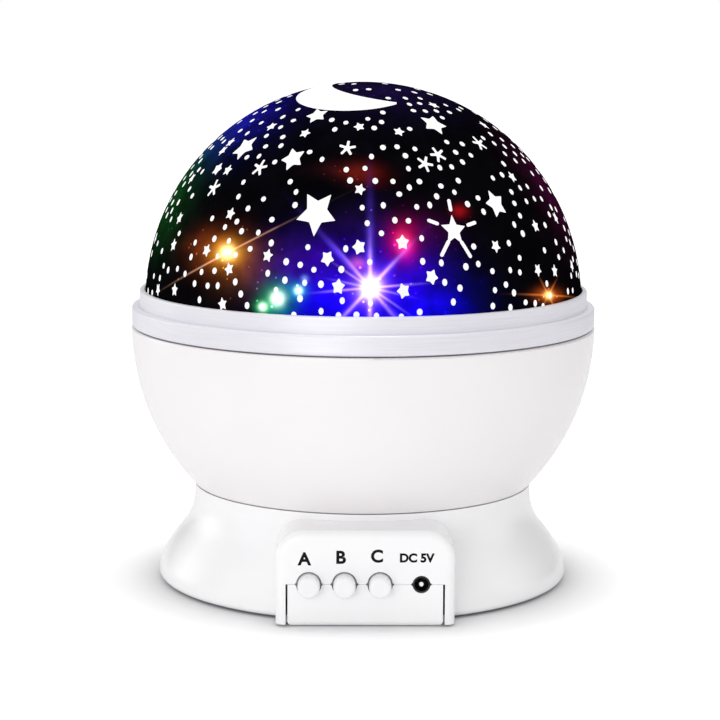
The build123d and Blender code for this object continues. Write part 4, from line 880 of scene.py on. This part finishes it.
# -------------------------------- screw heads
RECESS_REACH = 0.62  # the cross's arm as a share of the head's radius
RECESS_WIDTH = 0.15  # half the width of an arm, as a share of the same
RECESS_DEPTH = 0.5 * MM
RECESS_START = 0.1 * MM  # how far outside the head the cutting prism begins
HEAD_DEPTH = 0.6 * MM  # within this of its end, the head is wider than the shank
HEAD_SHARE = 0.9  # an end that reaches this share of the head's radius is the head
SAME_POINT = 0.0005 * MM  # vertices this near are merged
SHARP_FROM = radians(35)  # edges from this angle up keep their corner


def separate_solids(shape):
    """Lists of the vertices that hang together, in the mesh's own order."""
    taken = set()
    for first in shape.verts:
        found = [] if first in taken else [first]
        taken.update(found)
        for vert in found:
            others = [edge.other_vert(vert) for edge in vert.link_edges]
            joined = [other for other in others if other not in taken]
            taken.update(joined)
            found += joined
        if found:
            yield found


def add_cross(shape, middle, head_radius, end, into):
    """Cross-shaped prism, from just outside a screw's head to the bottom of its recess."""
    arm, half = RECESS_REACH * head_radius, RECESS_WIDTH * head_radius
    outline = []
    for n in range(4):
        turn = Matrix.Rotation(-n * pi / 2, 2)
        outline += [turn @ Vector(corner) for corner in ((half, half), (arm, half), (arm, -half))]
    layers = []
    for height in (end - into * RECESS_START, end + into * RECESS_DEPTH):
        layers.append([shape.verts.new((middle.x + p.x, middle.y + p.y, height)) for p in outline])
    for layer in layers:
        shape.faces.new(layer)
    for n in range(len(outline)):
        after = (n + 1) % len(outline)
        shape.faces.new([layers[0][n], layers[0][after], layers[1][after], layers[1][n]])


def cross_recessed(node, body, material):
    """The node's screws in their place, each with a screwdriver's cross cut into its head."""
    shape, crosses = bmesh.new(), bmesh.new()
    shape.from_mesh(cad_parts[node].data)
    bmesh.ops.remove_doubles(shape, verts=shape.verts, dist=SAME_POINT)
    for solid in separate_solids(shape):
        places = [vert.co for vert in solid]
        low = Vector([min(p[axis] for p in places) for axis in range(3)])
        high = Vector([max(p[axis] for p in places) for axis in range(3)])
        middle = (low + high) / 2
        head_radius = (high.x - low.x) / 2
        lower_end = [p for p in places if p.z < low.z + HEAD_DEPTH]
        reach = max(hypot(p.x - middle.x, p.y - middle.y) for p in lower_end)
        end, into = (low.z, 1) if reach > HEAD_SHARE * head_radius else (high.z, -1)
        add_cross(crosses, middle, head_radius, end, into)
    whole = from_bmesh(node + "_whole", shape, material)
    cutter = from_bmesh(node + "_crosses", crosses, material)
    cut = whole.modifiers.new("recess", "BOOLEAN")
    cut.operation, cut.solver, cut.object = "DIFFERENCE", "EXACT", cutter
    mesh = plain_copy(whole)
    for spare in (whole, cutter):
        bpy.data.objects.remove(spare)
    mesh.shade_smooth()
    mesh.set_sharp_from_angle(angle=SHARP_FROM)
    made = mesh_object(node + "_cross_recessed", mesh)
    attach(made, body)
    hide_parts(node)
    return made


# -------------------------------- finishes of all pieces
white_abs = moulded_plastic("glossy_white_abs", "#fafafa", "#f7f6f8", 0.22)
bowl_abs = moulded_plastic("glossy_bowl_abs", "#f5f2f3", "#f1eeef", 0.2)
ring_abs = turned_ring_abs("satin_ring_abs")
button_abs = moulded_plastic("white_button_abs", "#f6f5f7", "#f0eff2", 0.3, cloud_mm=5)
stem_abs = moulded_plastic("natural_white_abs", "#ececea", "#e2e2df", 0.38)
acetal = moulded_plastic("natural_acetal", "#f0efe9", "#e6e5de", 0.35)
gearbox_abs = moulded_plastic("black_gearbox_abs", "#232427", "#2c2d31", 0.4)
jack_plastic = moulded_plastic("black_jack_plastic", "#0a0a0b", "#121214", 0.35, cloud_mm=2)
switch_plastic = moulded_plastic("black_switch_plastic", "#1b1b1d", "#262628", 0.45, cloud_mm=2)
chip_epoxy = moulded_plastic("moulded_chip_epoxy", "#1d1e20", "#27282a", 0.6, cloud_mm=2)
washer_nylon = moulded_plastic("moulded_nylon", "#f4f2ea", "#ebe8de", 0.4)
film_ink = printed_film("printed_star_film")
window_light = lit_window("lit_clear_window")
letter_ink = screen_ink("black_screen_ink", "#020203", "#0a0a0c")
nickel = plated_metal("nickel_plated_strip", "#cfccc4", "#b9b6ae", 0.25)
turned_nickel = plated_metal("polished_nickel_pin", "#fbfaf6", "#f0eee8", 0.18, (0.4, 0.4, 0.4))
zinc = plated_metal("zinc_plated_steel", "#c9ccd0", "#b2b6bc", 0.32, (2.0, 2.0, 0.3))
steel = plated_metal("ground_steel", "#c4c6c9", "#aeb0b4", 0.22, (1.0, 1.0, 0.15))
motor_steel = plated_metal("drawn_motor_can", "#bfc2c6", "#a8abb0", 0.35)

FINISHES = {
    white_abs: ["base_housing", "bottom_cover", "battery_door"],
    bowl_abs: ["bowl"],
    ring_abs: ["trim_ring"],
    clear_polystyrene("clear_moulded_polystyrene"): ["dome_cover"],
    film_ink: ["star_film"],
    button_abs: ["button_a", "button_b", "button_c"],
    foot_rubber("moulded_foot_rubber"): ["rubber_feet"],
    jack_plastic: ["dc_jack"],
    nickel: ["battery_contacts"],
    turned_nickel: ["dc_jack_pin"],
    zinc: [
        "cover_screws", "battery_door_screw", "stem_screws", "led_board_screws",
        "ring_gear_screws", "gearbox_screws",
    ],
    steel: ["hub_clip", "output_shaft"],
    motor_steel: ["drive_motor"],
    stem_abs: ["lamp_stem"],
    acetal: ["ring_gear", "drive_pinion"],
    washer_nylon: ["thrust_washer"],
    gearbox_abs: ["gearbox_case", "gearbox_lid"],
    switch_plastic: ["tact_switches"],
    chip_epoxy: ["control_chip"],
    circuit_board("white_led_board", "#e9ebe8", "#d6dad2"): ["led_board"],
    circuit_board("green_control_board", "#14502c", "#2a7a44"): ["control_board"],
    cell_sleeve("printed_cell_sleeve"): ["battery_cells"],
    cast_epoxy_led("blue_epoxy", "#3a5cff"): ["led_blue"],
    cast_epoxy_led("red_epoxy", "#ff3040"): ["led_red"],
    cast_epoxy_led("green_epoxy", "#30e060"): ["led_green"],
    cast_epoxy_led("warm_epoxy", "#ffd890"): ["led_warm"],
    extruded_pvc("white_pvc_jacket", "#e8e8e6", "#dcdcda"): ["led_harness"],
    extruded_pvc("red_black_pvc", "#b01818", "#18181a"): ["motor_leads", "battery_leads"],
}
for finish, names in FINISHES.items():
    for name in names:
        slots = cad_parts[name].data.materials
        slots.clear()
        slots.append(finish)

stars = make_star_windows(window_light)
dots = make_dot_windows(window_light, stars)
for piece in (stars, dots):
    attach(piece, "dome")
for letter in LETTERS:
    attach(print_letters(*letter, letter_ink), "base")
CROSSED = {
    "cover_screws": "base", "led_board_screws": "base", "battery_door_screw": "battery_door"
}
for node, body in CROSSED.items():
    cross_recessed(node, body, zinc)


# -------------------------------- floor, light and surroundings
FLOOR_HALF = 6.0  # half the floor's side
FLOOR_LIFT = 0.42  # light that the eye sees added to the floor, to bring it to full white
LIFT_FROM, LIFT_TO = 0.05, 0.11  # metres from the lamp's middle between which it comes in
PAINTED_SHADE_REACH = 9 * MM  # painted contact shade: the floor's colour is made darker where a piece is this near


def make_floor():
    """Plain white floor, with contact shade painted darker into its colour where the lamp stands
    on it. Away from the lamp the eye sees it as white as the surroundings."""
    sockets = {"Roughness": 0.55, "Specular IOR Level": 0.2, "Emission Color": (*WHITE, 1)}
    made, tree, shader, place = new_material("floor_with_painted_shade", sockets)
    # Painted contact shade: ambient occlusion turns the floor's own colour grey near the lamp
    painted_contact_shade = add(tree, "ShaderNodeAmbientOcclusion", {"Distance": PAINTED_SHADE_REACH}).outputs["AO"]
    give_colour(tree, shader, painted_contact_shade, "#c2c2c5", "#f9f9f9")
    away = add(tree, "ShaderNodeVectorMath", {0: place}, operation="LENGTH").outputs["Value"]
    reach = {"Value": away, "From Min": LIFT_FROM, "From Max": LIFT_TO, "To Max": FLOOR_LIFT}
    lift = add(tree, "ShaderNodeMapRange", reach).outputs["Result"]
    seen = add(tree, "ShaderNodeLightPath").outputs["Is Camera Ray"]
    lift = add(tree, "ShaderNodeMath", {0: seen, 1: lift}, operation="MULTIPLY").outputs["Value"]
    tree.links.new(lift, shader.inputs["Emission Strength"])
    shape = bmesh.new()
    bmesh.ops.create_grid(shape, x_segments=8, y_segments=8, size=FLOOR_HALF)
    from_bmesh("floor", shape, made)


# The room as gloss mirrors it: bearings in degrees from the front towards +X, and how bright its
# walls, windows and grey gaps are there, as a share of the brightest.
ROOM_BEARINGS = (
    (-180, 0.45), (-152, 0.2), (-126, 1.0), (-99, 0.35), (-83, 0.85), (-62, 0.5), (-41, 0.7),
    (0, 0.6), (50, 0.6), (71, 0.2), (95, 0.95), (128, 0.1), (160, 0.45),
)
ROOM_BRIGHTEST = 1.35
AMBIENT = 0.77  # the level at which the room lights the lamp


def make_surroundings():
    """White room light. The eye and glass see it at full white, but gloss mirrors the room's
    windows and grey gaps, so that pale edges stand out against it."""
    world = bpy.data.worlds.new("surroundings")
    world.use_nodes = True
    tree = world.node_tree
    tree.nodes.clear()
    path = add(tree, "ShaderNodeLightPath").outputs
    direct = {0: path["Is Camera Ray"], 1: path["Is Transmission Ray"]}
    seen = add(tree, "ShaderNodeMath", direct, operation="MAXIMUM").outputs["Value"]
    direction = add(tree, "ShaderNodeTexCoord").outputs["Generated"]
    parts = add(tree, "ShaderNodeSeparateXYZ", {"Vector": direction}).outputs
    front = add(tree, "ShaderNodeMath", {0: parts["Y"], 1: -1.0}, operation="MULTIPLY").outputs[0]
    bearing = add(tree, "ShaderNodeMath", {0: parts["X"], 1: front}, operation="ARCTAN2")
    round_room = {"Value": bearing.outputs["Value"], "From Min": -pi, "From Max": pi}
    turn = add(tree, "ShaderNodeMapRange", round_room).outputs["Result"]
    room = add(tree, "ShaderNodeValToRGB", {"Fac": turn})
    stops = room.color_ramp
    stops.interpolation = "EASE"
    stops.elements.remove(stops.elements[1])
    for n, (degrees, share) in enumerate(ROOM_BEARINGS):
        stop = stops.elements[0] if n == 0 else stops.elements.new(degrees / 360 + 0.5)
        stop.color = (share, share, share, 1)
    brightness = {0: room.outputs["Color"], 1: ROOM_BRIGHTEST}
    mirrored = add(tree, "ShaderNodeMath", brightness, operation="MULTIPLY").outputs["Value"]
    lit = {"Value": path["Is Glossy Ray"], "To Min": AMBIENT, "To Max": mirrored}
    light = add(tree, "ShaderNodeMapRange", lit).outputs["Result"]
    level = add(tree, "ShaderNodeMapRange", {"Value": seen, "To Min": light, "To Max": 1.0})
    white = {"Color": (*WHITE, 1), "Strength": level.outputs["Result"]}
    sky = add(tree, "ShaderNodeBackground", white).outputs["Background"]
    add(tree, "ShaderNodeOutputWorld", {"Surface": sky})
    scene.world = world


# Square softboxes: name, place and side in metres, and power in watts.
SOFTBOXES = (
    ("key", (-0.42, -1.15, 0.16), 0.6, 3.8),
    ("back", (-1.0, 0.5, 0.2), 0.45, 0.5),
    ("top", (0, 0.1, 1.2), 0.35, 3.3),
)
LIT_POINT = Vector((0, 0, 0.06))  # what they face


def make_softbox(name, place, size, power):
    """Square softbox that faces the lamp."""
    data = bpy.data.lights.new(name, "AREA")
    data.size, data.energy = size, power
    lamp = bpy.data.objects.new(name, data)
    lamp.location = place
    lamp.rotation_euler = (LIT_POINT - lamp.location).to_track_quat("-Z", "Y").to_euler()
    scene.collection.objects.link(lamp)


make_floor()
make_surroundings()
for softbox in SOFTBOXES:
    make_softbox(*softbox)
scene.view_settings.view_transform = "Standard"
